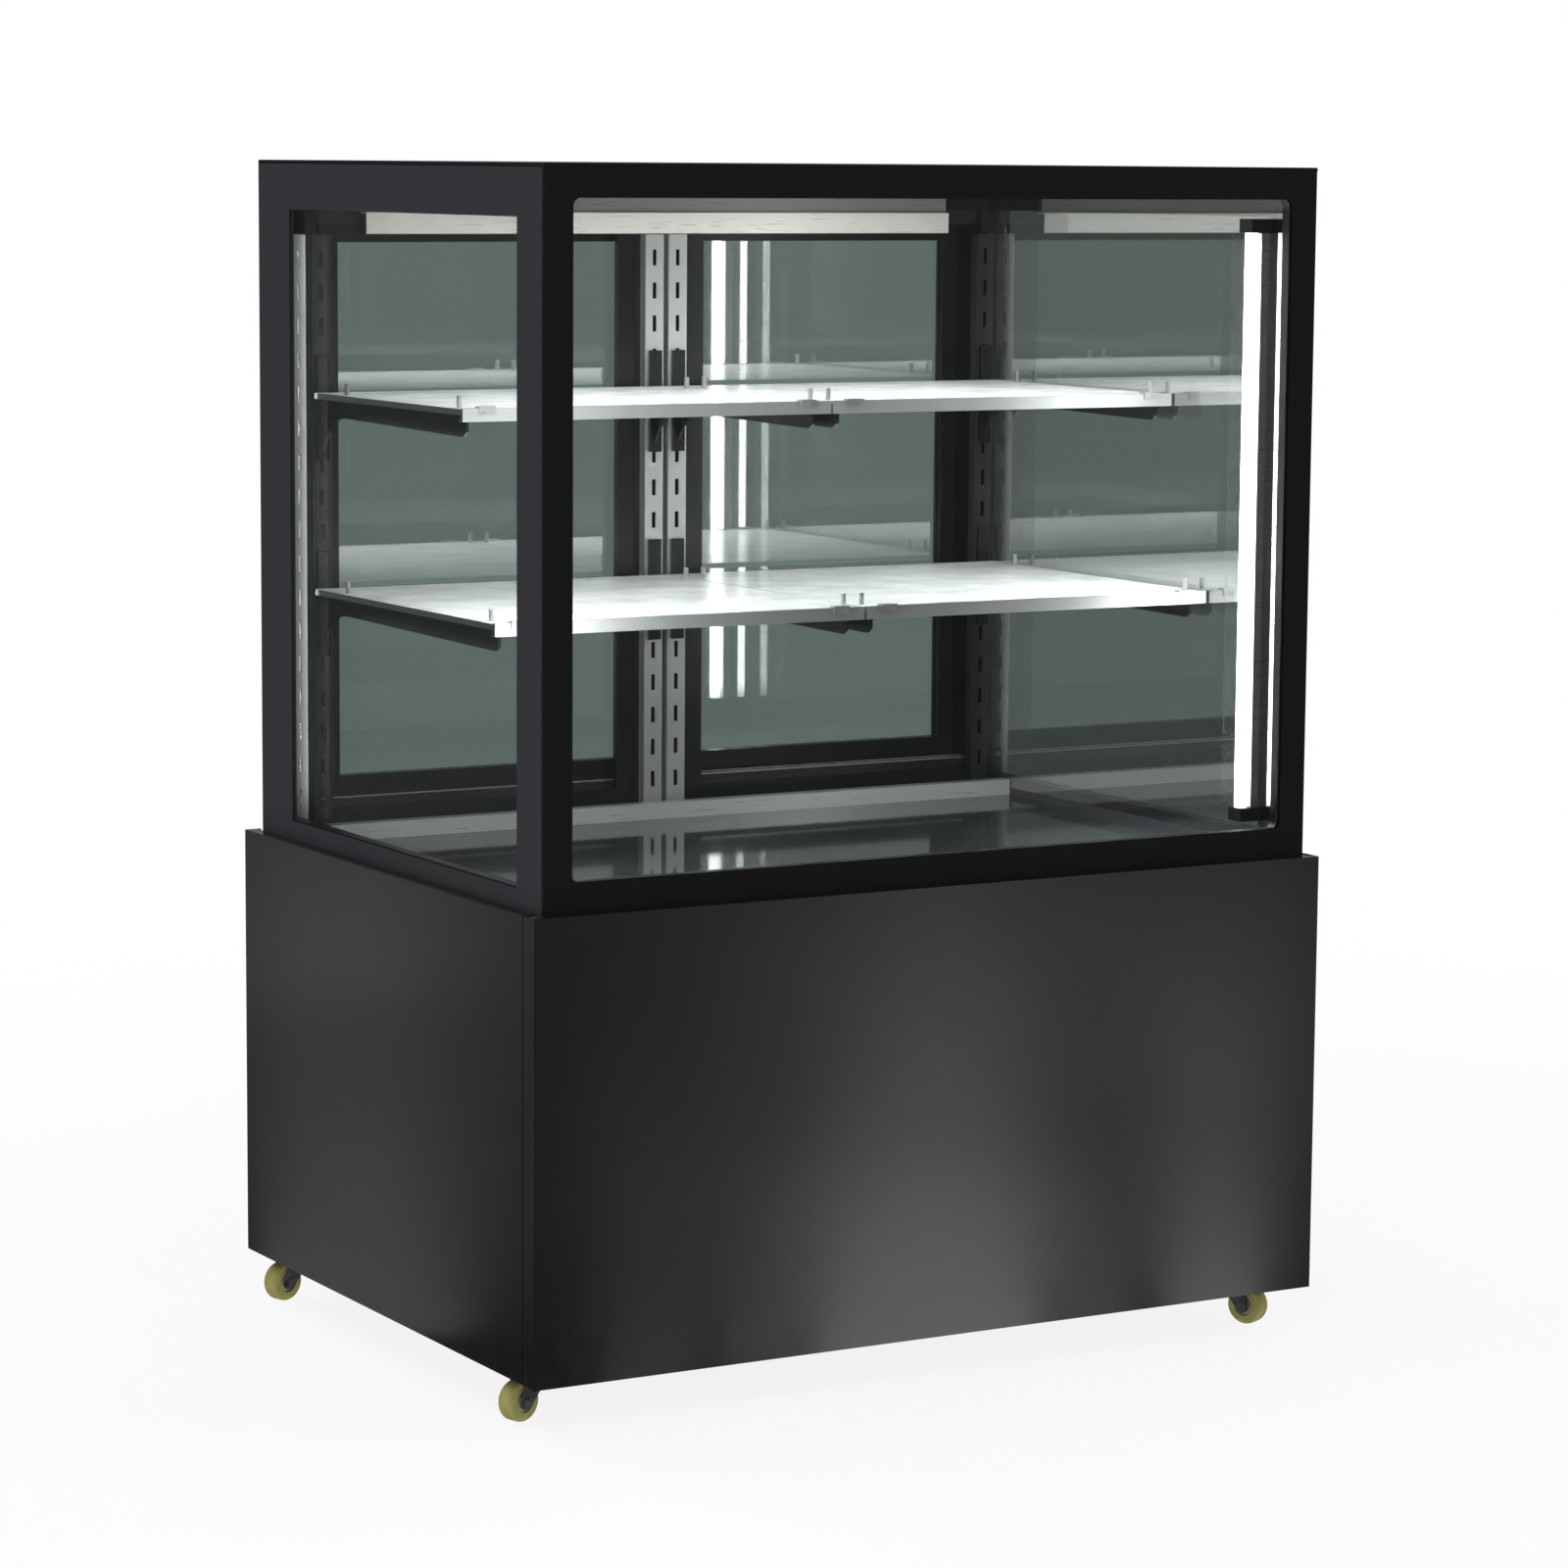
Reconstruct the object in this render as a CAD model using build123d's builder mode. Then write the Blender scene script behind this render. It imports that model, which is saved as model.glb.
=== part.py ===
"""Refrigerated deli case: glass display cabinet with two shelf levels on a closed machine base.

Millimetres, +Z up. The origin is on the floor, under the middle of the base. The front faces -Y.
"""
from build123d import *
import math
import os

os.makedirs("parts", exist_ok=True)

# ---------------------------------------------------------------- driving dimensions
# overall
overall_width = 900.0
overall_depth = 675.0
overall_height = 1200.0
half_width = overall_width / 2
half_depth = overall_depth / 2

# machine base
panel_bottom = 49.0
panel_top = 500.0
sheet = 1.2
front_return = 24.0
panel_seam = 1.5
frame_half_width = 448.5
frame_front = -336.0
frame_rear = 330.0
frame_bottom = 52.0
frame_top = 498.5
frame_flange = 25.0
frame_thick = 3.0
seat_flange = 38.0
caster_gusset = 64.0

# casters
wheel_radius = 20.0
wheel_width = 18.0
hub_radius = 13.0
axle_radius = 3.0
kingpin_radius = 4.0
caster_trail = 17.0
swivel_x = 412.0
swivel_front_y = -256.0
swivel_rear_y = 301.0
running_gap = 0.05
slack = 0.3

# glass cabinet
glass_half_width = 436.0
glass_front = -328.5
glass_rear = 323.0
glass_bottom = frame_top
lid_plate = 4.0
glass_top = overall_height - lid_plate
outer_pane = 5.0
pane_gap = 12.0
inner_pane = 4.0
unit_thick = outer_pane + pane_gap + inner_pane
inside_half_width = glass_half_width - unit_thick
inside_front = glass_front + unit_thick
front_border_side = 30.0
front_border_top = 1168.0
front_border_bottom = 530.0
side_opening_front = -272.0
side_opening_rear = 290.0
side_opening_top = 1150.0
side_opening_bottom = 520.0

# rear door frame
rear_face = 254.0
post_width = 12.0
header_bottom = 1150.0
sill_top = 528.0
mullion_half_width = 52.0
mullion_thick = 8.0

# sliding doors
door_thick = 14.0
inner_door_y = 273.5
outer_door_y = 291.0
door_bottom = 530.8
door_top = 1146.0
door_stile = 30.0
door_rail = 30.0
door_overlap = 41.0
door_pane = 5.0

# shelving
upper_shelf_top = 963.0
lower_shelf_top = 761.0
upper_shelf_front = -110.0
lower_shelf_front = -180.0
shelf_rear = 236.0
shelf_glass_thick = 6.0
upright_width = 22.0
upright_depth = 12.0
upright_sheet = 1.5
upright_top = 1124.0
slot_pitch = 35.0
slot_length = 17.0
slot_width = 4.6
bracket_thick = 3.0
corner_upright_x = 402.0
corner_leg_x = (412.9, 414.5)
corner_leg_y = (246.0, 292.0)
corner_leg_slot_y = 272.0
centre_upright_x = 14.0

# deck and cold tub
deck_top = 502.5
deck_sheet = 3.0
tub_half_width = 404.0
tub_front = -292.0
tub_rear = 286.0
tub_bottom = 345.0
tub_wall = 26.0
tub_floor = 28.0


# ---------------------------------------------------------------- helpers
def save(builder, name):
    """Label one finished piece and write it to its own file."""
    builder.part.label = name
    export_step(builder.part, f"parts/{name}.step")


def block(x, y, z, mode=Mode.ADD):
    """Add or cut a box from its low and high limits along X, Y and Z."""
    with Locations(((x[0] + x[1]) / 2, (y[0] + y[1]) / 2, (z[0] + z[1]) / 2)):
        Box(x[1] - x[0], y[1] - y[0], z[1] - z[0], mode=mode)


def rod(centre, radius, length, axis="Z", mode=Mode.ADD):
    """Add or cut a cylinder about its centre, along one of the row's axes."""
    turn = {"X": (0, 90, 0), "Y": (90, 0, 0), "Z": (0, 0, 0)}[axis]
    with Locations(Location(centre, turn)):
        Cylinder(radius, length, mode=mode)


def both_sides(near, far, side):
    """Limits along X of something that runs from near to far on one side of the centre."""
    return tuple(sorted((side * near, side * far)))


# ---------------------------------------------------------------- base: frame, pan and panels
with BuildPart() as base_frame:
    for side in (-1, 1):
        wall = both_sides(frame_half_width - frame_thick, frame_half_width, side)
        flange = both_sides(frame_half_width - frame_flange, frame_half_width, side)
        seat = both_sides(frame_half_width - seat_flange, frame_half_width, side)
        depth = (frame_front, frame_rear)
        block(wall, depth, (frame_bottom, frame_bottom + frame_flange))
        block(flange, depth, (frame_bottom, frame_bottom + frame_thick))
        block(wall, depth, (frame_top - frame_flange, frame_top))
        block(seat, depth, (frame_top - frame_thick, frame_top))
    for near, inward in ((frame_front, 1), (frame_rear, -1)):
        width = (-frame_half_width, frame_half_width)
        wall = tuple(sorted((near, near + inward * frame_thick)))
        flange = tuple(sorted((near, near + inward * frame_flange)))
        seat = tuple(sorted((near, near + inward * seat_flange)))
        block(width, wall, (frame_bottom, frame_bottom + frame_flange))
        block(width, flange, (frame_bottom, frame_bottom + frame_thick))
        block(width, wall, (frame_top - frame_flange, frame_top))
        block(width, seat, (frame_top - frame_thick, frame_top))
        for side in (-1, 1):
            post = both_sides(frame_half_width - frame_flange, frame_half_width, side)
            leg = both_sides(frame_half_width - frame_thick, frame_half_width, side)
            block(post, wall, (frame_bottom, frame_top))
            block(leg, flange, (frame_bottom, frame_top))
    for side in (-1, 1):
        for swivel_y in (swivel_front_y, swivel_rear_y):
            gusset_x = both_sides(frame_half_width - caster_gusset, frame_half_width, side)
            gusset_y = (swivel_y - caster_gusset / 2, min(swivel_y + caster_gusset / 2, frame_rear))
            block(gusset_x, gusset_y, (frame_bottom, frame_bottom + frame_thick))
save(base_frame, "base_frame")

pan_bottom = frame_bottom + frame_thick
pan_top = pan_bottom + sheet
with BuildPart() as base_floor_pan:
    pan_half = frame_half_width - frame_thick - slack
    pan_y = (frame_front + frame_thick + slack, frame_rear - frame_thick - slack)
    block((-pan_half, pan_half), pan_y, (pan_bottom, pan_top))
    for side in (-1, 1):
        for corner_y, inward in ((pan_y[0], 1), (pan_y[1], -1)):
            notch_y = tuple(sorted((corner_y, corner_y + inward * frame_flange)))
            notch_x = both_sides(pan_half - frame_flange, pan_half, side)
            block(notch_x, notch_y, (pan_bottom, pan_top), mode=Mode.SUBTRACT)
    with BuildSketch(Plane.XY.offset(pan_bottom)):
        with GridLocations(36, 150, 9, 2):
            SlotOverall(100, 8, rotation=90)
    extrude(amount=sheet, mode=Mode.SUBTRACT)
save(base_floor_pan, "base_floor_pan")

with BuildPart() as front_panel:
    face = (-half_depth, -half_depth + sheet)
    block((-half_width, half_width), face, (panel_bottom, panel_top))
    inner_half = half_width - sheet
    for side in (-1, 1):
        edge = both_sides(inner_half, half_width, side)
        block(edge, (-half_depth, -half_depth + front_return), (panel_bottom, panel_top))
    block((-half_width, half_width), (-half_depth, glass_front - 1), (panel_top - sheet, panel_top))
    block((-half_width, half_width), (-half_depth, -half_depth + 15), (panel_bottom, panel_bottom + sheet))
    vertical = front_panel.edges().filter_by(Axis.Z).group_by(Axis.Y)[0]
    fillet(vertical, 0.8)
save(front_panel, "front_panel")

side_front = -half_depth + front_return + panel_seam
rear_return = 18.0
for side, name in ((-1, "left_side_panel"), (1, "right_side_panel")):
    with BuildPart() as side_panel:
        skin = both_sides(half_width - sheet, half_width, side)
        block(skin, (side_front, half_depth), (panel_bottom, panel_top))
        ledge = both_sides(glass_half_width + 1, half_width, side)
        block(ledge, (side_front, half_depth), (panel_top - sheet, panel_top))
        foot = both_sides(half_width - 10, half_width, side)
        block(foot, (side_front, half_depth), (panel_bottom, panel_bottom + sheet))
        tail = both_sides(half_width - rear_return, half_width, side)
        block(tail, (half_depth - sheet, half_depth), (panel_bottom, panel_top))
        outer_edge = side_panel.edges().filter_by(Axis.Y).group_by(Axis.X)[0 if side < 0 else -1]
        fillet(outer_edge, 0.8)
    save(side_panel, name)

rear_panel_half = half_width - rear_return - 1
rear_panel_y = (frame_rear + slack, frame_rear + slack + sheet)
rear_panel_z = (panel_bottom + 11, panel_top - 4)
louvre_width = 96.0
louvre_height = 9.0
louvre_hood = 5.0
control_x = -300.0
control_z = 430.0
knob_x = control_x + 62.0
switch_xs = (control_x - 62.0, control_x - 14.0)
switch_opening = (24.0, 19.0)
gland_x = -392.0
gland_z = 120.0
louvre_rows = [104.0 + 26.0 * row for row in range(12)]
louvre_columns = [-130.0 + 125.0 * column for column in range(5)]
with BuildPart() as rear_louvre_panel:
    block((-rear_panel_half, rear_panel_half), rear_panel_y, rear_panel_z)
    for louvre_x in louvre_columns:
        for louvre_z in louvre_rows:
            block(
                (louvre_x - louvre_width / 2, louvre_x + louvre_width / 2),
                rear_panel_y,
                (louvre_z, louvre_z + louvre_height),
                mode=Mode.SUBTRACT,
            )
    for louvre_x in louvre_columns:
        with BuildSketch(Plane.YZ.offset(louvre_x - louvre_width / 2)):
            for louvre_z in louvre_rows:
                hood_top = louvre_z + louvre_height
                with BuildLine():
                    Polyline(
                        (rear_panel_y[0], hood_top + 1.2),
                        (rear_panel_y[1], hood_top + 1.2),
                        (rear_panel_y[1] + louvre_hood, louvre_z + 1.5),
                        (rear_panel_y[1] + louvre_hood - 1, louvre_z + 1.0),
                        (rear_panel_y[0], hood_top - 0.6),
                        close=True,
                    )
                make_face()
        extrude(amount=louvre_width)
    for switch_x in switch_xs:
        block(
            (switch_x - switch_opening[0] / 2, switch_x + switch_opening[0] / 2),
            rear_panel_y,
            (control_z - switch_opening[1] / 2, control_z + switch_opening[1] / 2),
            mode=Mode.SUBTRACT,
        )
    rod((knob_x, rear_panel_y[0], control_z), 5.0, 10.0, "Y", mode=Mode.SUBTRACT)
    rod((gland_x, rear_panel_y[0], gland_z), 8.3, 10.0, "Y", mode=Mode.SUBTRACT)
save(rear_louvre_panel, "rear_louvre_panel")

screw_head_radius = 4.5
screw_x = 418.0
screw_head_height = 2.4
with BuildPart() as panel_screws:
    for side in (-1, 1):
        for screw_z in (90.0, 275.0, 470.0):
            rod((side * screw_x, rear_panel_y[1] + 1.25, screw_z), screw_head_radius, screw_head_height, "Y")
    chamfer(panel_screws.edges().filter_by(GeomType.CIRCLE).group_by(Axis.Y)[-1], 0.7)
    for side in (-1, 1):
        for screw_z in (90.0, 275.0, 470.0):
            head_back = rear_panel_y[1] + 2.45
            with Locations((side * screw_x, head_back - 0.4, screw_z)):
                Box(6.0, 0.8, 1.1, mode=Mode.SUBTRACT)
                Box(1.1, 0.8, 6.0, mode=Mode.SUBTRACT)
save(panel_screws, "panel_screws")

# ---------------------------------------------------------------- controls on the rear panel
panel_back = rear_panel_y[1]
knob_radius = 15.0
knob_thick = 4.6
knob_grips = 18
with BuildPart() as thermostat_knob:
    with BuildSketch(Plane.XZ.offset(-(panel_back + slack))):
        with Locations((knob_x, control_z)):
            Circle(knob_radius)
            with PolarLocations(knob_radius + 0.6, knob_grips):
                Circle(1.4, mode=Mode.SUBTRACT)
    extrude(amount=-knob_thick)
    rod((knob_x, panel_back + slack, control_z), 3.0 + running_gap, knob_thick, "Y", mode=Mode.SUBTRACT)
    pointer_y = (panel_back + slack + knob_thick - 0.6, panel_back + slack + knob_thick)
    block((knob_x - 0.8, knob_x + 0.8), pointer_y, (control_z + 5, control_z + 13), mode=Mode.SUBTRACT)
save(thermostat_knob, "thermostat_knob")

rocker_half_length = 8.6
rocker_half_width = 5.6
rocker_pivot_y = panel_back - 3.0
rocker_pin = 15.2
with BuildPart() as control_housings:
    for switch_x in switch_xs:
        bezel = (switch_x - 14, switch_x + 14)
        can = (switch_x - 11.8, switch_x + 11.8)
        well = (switch_x - rocker_half_length - 2.0, switch_x + rocker_half_length + 2.0)
        well_height = rocker_half_width + 0.5
        block(bezel, (panel_back + 0.1, panel_back + 2.0), (control_z - 12, control_z + 12))
        block(can, (panel_back - 22, panel_back + 2.0), (control_z - 9.3, control_z + 9.3))
        block(
            well,
            (panel_back - 8, panel_back + 2.0),
            (control_z - well_height, control_z + well_height),
            mode=Mode.SUBTRACT,
        )
        rod((switch_x, rocker_pivot_y, control_z), 1.0 + running_gap, rocker_pin + 0.4, mode=Mode.SUBTRACT)
    thermostat_y = (frame_rear - 34, rear_panel_y[0] - 0.1)
    block((knob_x - 22, knob_x + 22), thermostat_y, (control_z - 18, control_z + 18))
    rod((knob_x, rear_panel_y[0] + 1.4, control_z), 3.0, 3.2, "Y")
save(control_housings, "control_housings")

for switch_x, name in zip(switch_xs, ("power_rocker", "light_rocker")):
    with BuildPart() as rocker:
        with BuildSketch(Plane.XY.offset(control_z - rocker_half_width)):
            with BuildLine():
                Polyline(
                    (switch_x - rocker_half_length, rocker_pivot_y - 1.2),
                    (switch_x + rocker_half_length, rocker_pivot_y - 1.2),
                    (switch_x + rocker_half_length, rocker_pivot_y + 5.0),
                    (switch_x, rocker_pivot_y + 3.6),
                    (switch_x - rocker_half_length, rocker_pivot_y + 7.2),
                    close=True,
                )
            make_face()
        extrude(amount=2 * rocker_half_width)
        rod((switch_x, rocker_pivot_y, control_z), 1.0, rocker_pin)
    save(rocker, name)

with BuildPart() as cable_gland:
    rod((gland_x, rear_panel_y[0] - 6.0, gland_z), 8.0, 24.0, "Y")
    rod((gland_x, rear_panel_y[0] - 2.6, gland_z), 12.0, 5.0, "Y")
    with BuildSketch(Plane.XZ.offset(-(panel_back + 0.1))):
        with Locations((gland_x, gland_z)):
            RegularPolygon(11.0, 6)
    extrude(amount=-4.6)
    rod((gland_x, rear_panel_y[0], gland_z), 4.0, 60.0, "Y", mode=Mode.SUBTRACT)
save(cable_gland, "cable_gland")

# ---------------------------------------------------------------- casters
plate_bottom = frame_bottom - 2.5
bolt_spacing = (34.0, 28.0)
bolt_radius = 2.2
boss_bottom = 46.0
crown_top = boss_bottom - slack
crown_bottom = crown_top - 3.0
with BuildPart() as caster_plates:
    for side in (-1, 1):
        for swivel_y in (swivel_front_y, swivel_rear_y):
            x = side * swivel_x
            block((x - 22, x + 22), (swivel_y - 19, swivel_y + 19), (plate_bottom, frame_bottom))
            rod((x, swivel_y, (boss_bottom + plate_bottom) / 2), 14.0, plate_bottom - boss_bottom)
            rod((x, swivel_y, 43.0), kingpin_radius, boss_bottom - 40.0)
            rod((x, swivel_y, 40.9), 6.0, 1.8)
            with Locations((x, swivel_y, frame_bottom)):
                with GridLocations(*bolt_spacing, 2, 2):
                    Hole(bolt_radius, depth=frame_bottom - plate_bottom)
save(caster_plates, "caster_plates")

caster_headings = {
    "front_left": (-1, swivel_front_y, 196.0),
    "front_right": (1, swivel_front_y, 296.0),
    "rear_left": (-1, swivel_rear_y, 196.0),
    "rear_right": (1, swivel_rear_y, 296.0),
}
leg_inner = 10.2
leg_outer = 12.2
fork_crown = 26.0
axle_length = 29.2
nut_thick = 2.6
for corner, (side, swivel_y, heading) in caster_headings.items():
    along = (math.cos(math.radians(heading)), math.sin(math.radians(heading)), 0)
    centre = (side * swivel_x, swivel_y, 0)
    upright_plane = Plane(origin=centre, x_dir=along, z_dir=(along[1], -along[0], 0))
    flat_plane = Plane(origin=centre, x_dir=along, z_dir=(0, 0, 1))
    with BuildPart() as fork:
        with BuildSketch(flat_plane.offset(crown_bottom)):
            Circle(15.0)
            Rectangle(fork_crown, 2 * leg_outer)
            Circle(kingpin_radius + running_gap, mode=Mode.SUBTRACT)
        extrude(amount=crown_top - crown_bottom)
        for offset in (leg_inner, -leg_outer):
            with BuildSketch(upright_plane.offset(offset)):
                with Locations((caster_trail, wheel_radius)):
                    Circle(7.5)
                with Locations((0, crown_top - 1.5)):
                    Rectangle(fork_crown, 3.0)
                make_hull()
                with Locations((caster_trail, wheel_radius)):
                    Circle(axle_radius + running_gap, mode=Mode.SUBTRACT)
            extrude(amount=leg_outer - leg_inner)
        with BuildSketch(upright_plane.offset(-axle_length / 2)):
            with Locations((caster_trail, wheel_radius)):
                Circle(axle_radius)
        extrude(amount=axle_length)
        for offset, thick in ((leg_outer + 0.1, nut_thick), (-leg_outer - 0.1, -nut_thick)):
            with BuildSketch(upright_plane.offset(offset)):
                with Locations((caster_trail, wheel_radius)):
                    RegularPolygon(5.2, 6)
            extrude(amount=thick)
    save(fork, f"caster_fork_{corner}")
    with BuildPart() as wheel:
        with BuildSketch(upright_plane.offset(-wheel_width / 2)):
            with Locations((caster_trail, wheel_radius)):
                Circle(wheel_radius)
                Circle(hub_radius + 0.02, mode=Mode.SUBTRACT)
        extrude(amount=wheel_width)
        rims = wheel.edges().filter_by(GeomType.CIRCLE).filter_by(lambda e: e.radius > wheel_radius - 1)
        fillet(rims, 4.0)
        with BuildSketch(upright_plane.offset(-wheel_width / 2 - 0.6)):
            with Locations((caster_trail, wheel_radius)):
                Circle(hub_radius)
                Circle(axle_radius + running_gap, mode=Mode.SUBTRACT)
        extrude(amount=wheel_width + 1.2)
        for offset, depth in ((-wheel_width / 2 - 0.6, 3.0), (wheel_width / 2 + 0.6, -3.0)):
            with BuildSketch(upright_plane.offset(offset)):
                with Locations((caster_trail, wheel_radius)):
                    Circle(hub_radius - 2.0)
                    Circle(6.0, mode=Mode.SUBTRACT)
            extrude(amount=depth, mode=Mode.SUBTRACT)
    save(wheel, f"caster_wheel_{corner}")

# ---------------------------------------------------------------- refrigeration machine in the base
compressor_x = -240.0
compressor_y = 110.0
grommet_height = 18.0
with BuildPart() as compressor_mounts:
    for dx in (-85, 85):
        for dy in (-55, 55):
            rod((compressor_x + dx, compressor_y + dy, pan_top + grommet_height / 2), 12.0, grommet_height)
save(compressor_mounts, "compressor_mounts")

foot_bottom = pan_top + grommet_height
with BuildPart() as compressor:
    block(
        (compressor_x - 102, compressor_x + 102),
        (compressor_y - 72, compressor_y + 72),
        (foot_bottom, foot_bottom + 3),
    )
    rod((compressor_x, compressor_y, foot_bottom + 3 + 80), 72.0, 160.0)
    shell_rims = compressor.edges().filter_by(GeomType.CIRCLE).group_by(Axis.Z)[-1]
    fillet(shell_rims, 30.0)
    rod((compressor_x, compressor_y, foot_bottom + 88), 74.5, 5.0)
    block(
        (compressor_x - 98, compressor_x - 60),
        (compressor_y - 26, compressor_y + 26),
        (foot_bottom + 50, foot_bottom + 120),
    )
save(compressor, "compressor")


def tube_height(z, tube_rows, row):
    """Height of one tube row in a coil that spans the limits z."""
    return z[0] + (z[1] - z[0]) * (row + 0.5) / tube_rows


def finned_coil(x, y, z, fin_count, tube_rows):
    """Fin pack along X between two end plates, with straight tubes through it."""
    fin_thick = 0.8
    end_thick = 2.0
    fin_span = x[1] - x[0] - 2 * end_thick
    block((x[0], x[0] + end_thick), y, z)
    block((x[1] - end_thick, x[1]), y, z)
    for index in range(fin_count):
        fin_x = x[0] + end_thick + fin_span * (index + 1) / (fin_count + 1)
        block((fin_x, fin_x + fin_thick), y, (z[0] + 1, z[1] - 1))
    for row in range(tube_rows):
        tube_z = tube_height(z, tube_rows, row)
        rod(((x[0] + x[1]) / 2, (y[0] + y[1]) / 2, tube_z), 4.8, x[1] - x[0] + 16, "X")


fan_x = 180.0
fan_z = 190.0
condenser_x = (fan_x - 130, fan_x + 130)
condenser_y = (262.0, 302.0)
condenser_z = (pan_top, 318.0)
condenser_rows = 7
with BuildPart() as condenser_coil:
    finned_coil(condenser_x, condenser_y, condenser_z, fin_count=30, tube_rows=condenser_rows)
save(condenser_coil, "condenser_coil")

condenser_fan_radius = 92.0
shroud_y = (condenser_y[0] - 26, condenser_y[0])
motor_front_y = 150.0
with BuildPart() as condenser_fan_shroud:
    block(condenser_x, shroud_y, condenser_z)
    block(
        (condenser_x[0] + sheet, condenser_x[1] - sheet),
        (shroud_y[0] + sheet, shroud_y[1]),
        (condenser_z[0] + sheet, condenser_z[1] - sheet),
        mode=Mode.SUBTRACT,
    )
    rod((fan_x, shroud_y[0], fan_z), condenser_fan_radius + 5, 20.0, "Y", mode=Mode.SUBTRACT)
    for side in (-1, 1):
        arm = (fan_x + side * 34 - 5, fan_x + side * 34 + 5)
        block(arm, (motor_front_y, motor_front_y + 3), (pan_top, fan_z + 8))
        block(arm, (motor_front_y, shroud_y[0] + 1), (pan_top, pan_top + 3))
save(condenser_fan_shroud, "condenser_fan_shroud")


def fan_motor(centre_x, front_y, centre_z, radius, length, shaft_end):
    """Shaded-pole motor: round can with a rear boss and a straight output shaft along +Y."""
    rod((centre_x, front_y + length / 2, centre_z), radius, length, "Y")
    rod((centre_x, front_y + length + 2, centre_z), radius * 0.45, 4.0, "Y")
    shaft_start = front_y + length
    rod((centre_x, (shaft_start + shaft_end) / 2, centre_z), 3.0, shaft_end - shaft_start, "Y")


def fan_blades(centre_x, hub_y, centre_z, radius, blade_count):
    """Hub with pitched blades; the bore is a running fit on a 6 mm shaft."""
    hub_length = 22.0
    for index in range(blade_count):
        angle = 360.0 * index / blade_count
        turn = Location((centre_x, hub_y, centre_z), (0, angle, 0))
        with Locations(turn * Location(((radius + 10) / 2, 0, 0), (32, 0, 0))):
            Box(radius - 10, 1.6, radius * 0.55)
    with BuildSketch(Plane.XZ.offset(-(hub_y - hub_length / 2))) as swept_disc:
        with Locations((centre_x, centre_z)):
            Circle(radius)
    extrude(swept_disc.sketch, amount=-hub_length, mode=Mode.INTERSECT)
    rod((centre_x, hub_y, centre_z), 19.0, hub_length, "Y")
    rod((centre_x, hub_y, centre_z), 3.0 + running_gap, hub_length, "Y", mode=Mode.SUBTRACT)


motor_length = 46.0
condenser_hub_y = 246.0
with BuildPart() as condenser_fan_motor:
    fan_motor(fan_x, motor_front_y + 3.2, fan_z, 38.0, motor_length, condenser_hub_y + 8)
save(condenser_fan_motor, "condenser_fan_motor")

with BuildPart() as condenser_fan:
    fan_blades(fan_x, condenser_hub_y, fan_z, condenser_fan_radius, 5)
save(condenser_fan, "condenser_fan")

# copper lines: compressor to condenser, condenser through the drier to the tub, tub to compressor
pipe_radius = 4.0


def pipe(points, bend, radius=pipe_radius):
    """Copper line through points, with equal bends, swept with a round section."""
    with BuildLine() as route:
        FilletPolyline(*points, radius=bend)
    start = route.line @ 0
    with BuildSketch(Plane(origin=start, z_dir=route.line % 0)) as section:
        Circle(radius)
    sweep(section.sketch, path=route.line)


shell_top = foot_bottom + 163.1
coil_y = (condenser_y[0] + condenser_y[1]) / 2
coil_end_x = condenser_x[0] - 9.0
inlet_z = tube_height(condenser_z, condenser_rows, condenser_rows - 1)
outlet_z = tube_height(condenser_z, condenser_rows, 0)
tub_under = tub_bottom - 0.5
discharge_x = compressor_x + 38
suction_x = compressor_x - 28
suction_y = compressor_y + 28
liquid_x = coil_end_x - 62
with BuildPart() as refrigerant_pipes:
    pipe(
        [
            (discharge_x, compressor_y, shell_top),
            (discharge_x, compressor_y, inlet_z),
            (coil_end_x - 32, compressor_y, inlet_z),
            (coil_end_x - 32, coil_y, inlet_z),
            (coil_end_x, coil_y, inlet_z),
        ],
        bend=14.0,
    )
    pipe(
        [
            (coil_end_x, coil_y, outlet_z),
            (liquid_x, coil_y, outlet_z),
            (liquid_x, coil_y, tub_under),
        ],
        bend=16.0,
    )
    rod((liquid_x, coil_y, 190.0), 11.0, 90.0)
    pipe(
        [
            (suction_x, suction_y, shell_top),
            (suction_x, suction_y, tub_under - 40),
            (suction_x, suction_y + 60, tub_under - 40),
            (suction_x, suction_y + 60, tub_under),
        ],
        bend=14.0,
    )
save(refrigerant_pipes, "refrigerant_pipes")

# ---------------------------------------------------------------- cold tub, evaporator and deck
drain_x = -330.0
drain_y = -190.0
with BuildPart() as insulated_tub:
    tub_x = (-tub_half_width, tub_half_width)
    tub_y = (tub_front, tub_rear)
    block(tub_x, tub_y, (tub_bottom, frame_top - 3.5))
    block(
        (tub_x[0] + tub_wall, tub_x[1] - tub_wall),
        (tub_y[0] + tub_wall, tub_y[1] - tub_wall),
        (tub_bottom + tub_floor, frame_top),
        mode=Mode.SUBTRACT,
    )
    rod((drain_x, drain_y, tub_bottom), 10.2, 80.0, mode=Mode.SUBTRACT)
    fillet(insulated_tub.edges().filter_by(Axis.Z).group_by(Axis.X)[0], 6.0)
    fillet(insulated_tub.edges().filter_by(Axis.Z).group_by(Axis.X)[-1], 6.0)
save(insulated_tub, "insulated_tub")

with BuildPart() as drain_tube:
    drain_end = pan_top + 30
    drain_head = tub_bottom + tub_floor
    rod((drain_x, drain_y, (drain_end + drain_head) / 2), 10.0, drain_head - drain_end)
    rod((drain_x, drain_y, drain_head + 1), 15.0, 2.0)
    rod((drain_x, drain_y, 250.0), 8.0, 500.0, mode=Mode.SUBTRACT)
save(drain_tube, "drain_tube")

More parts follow.
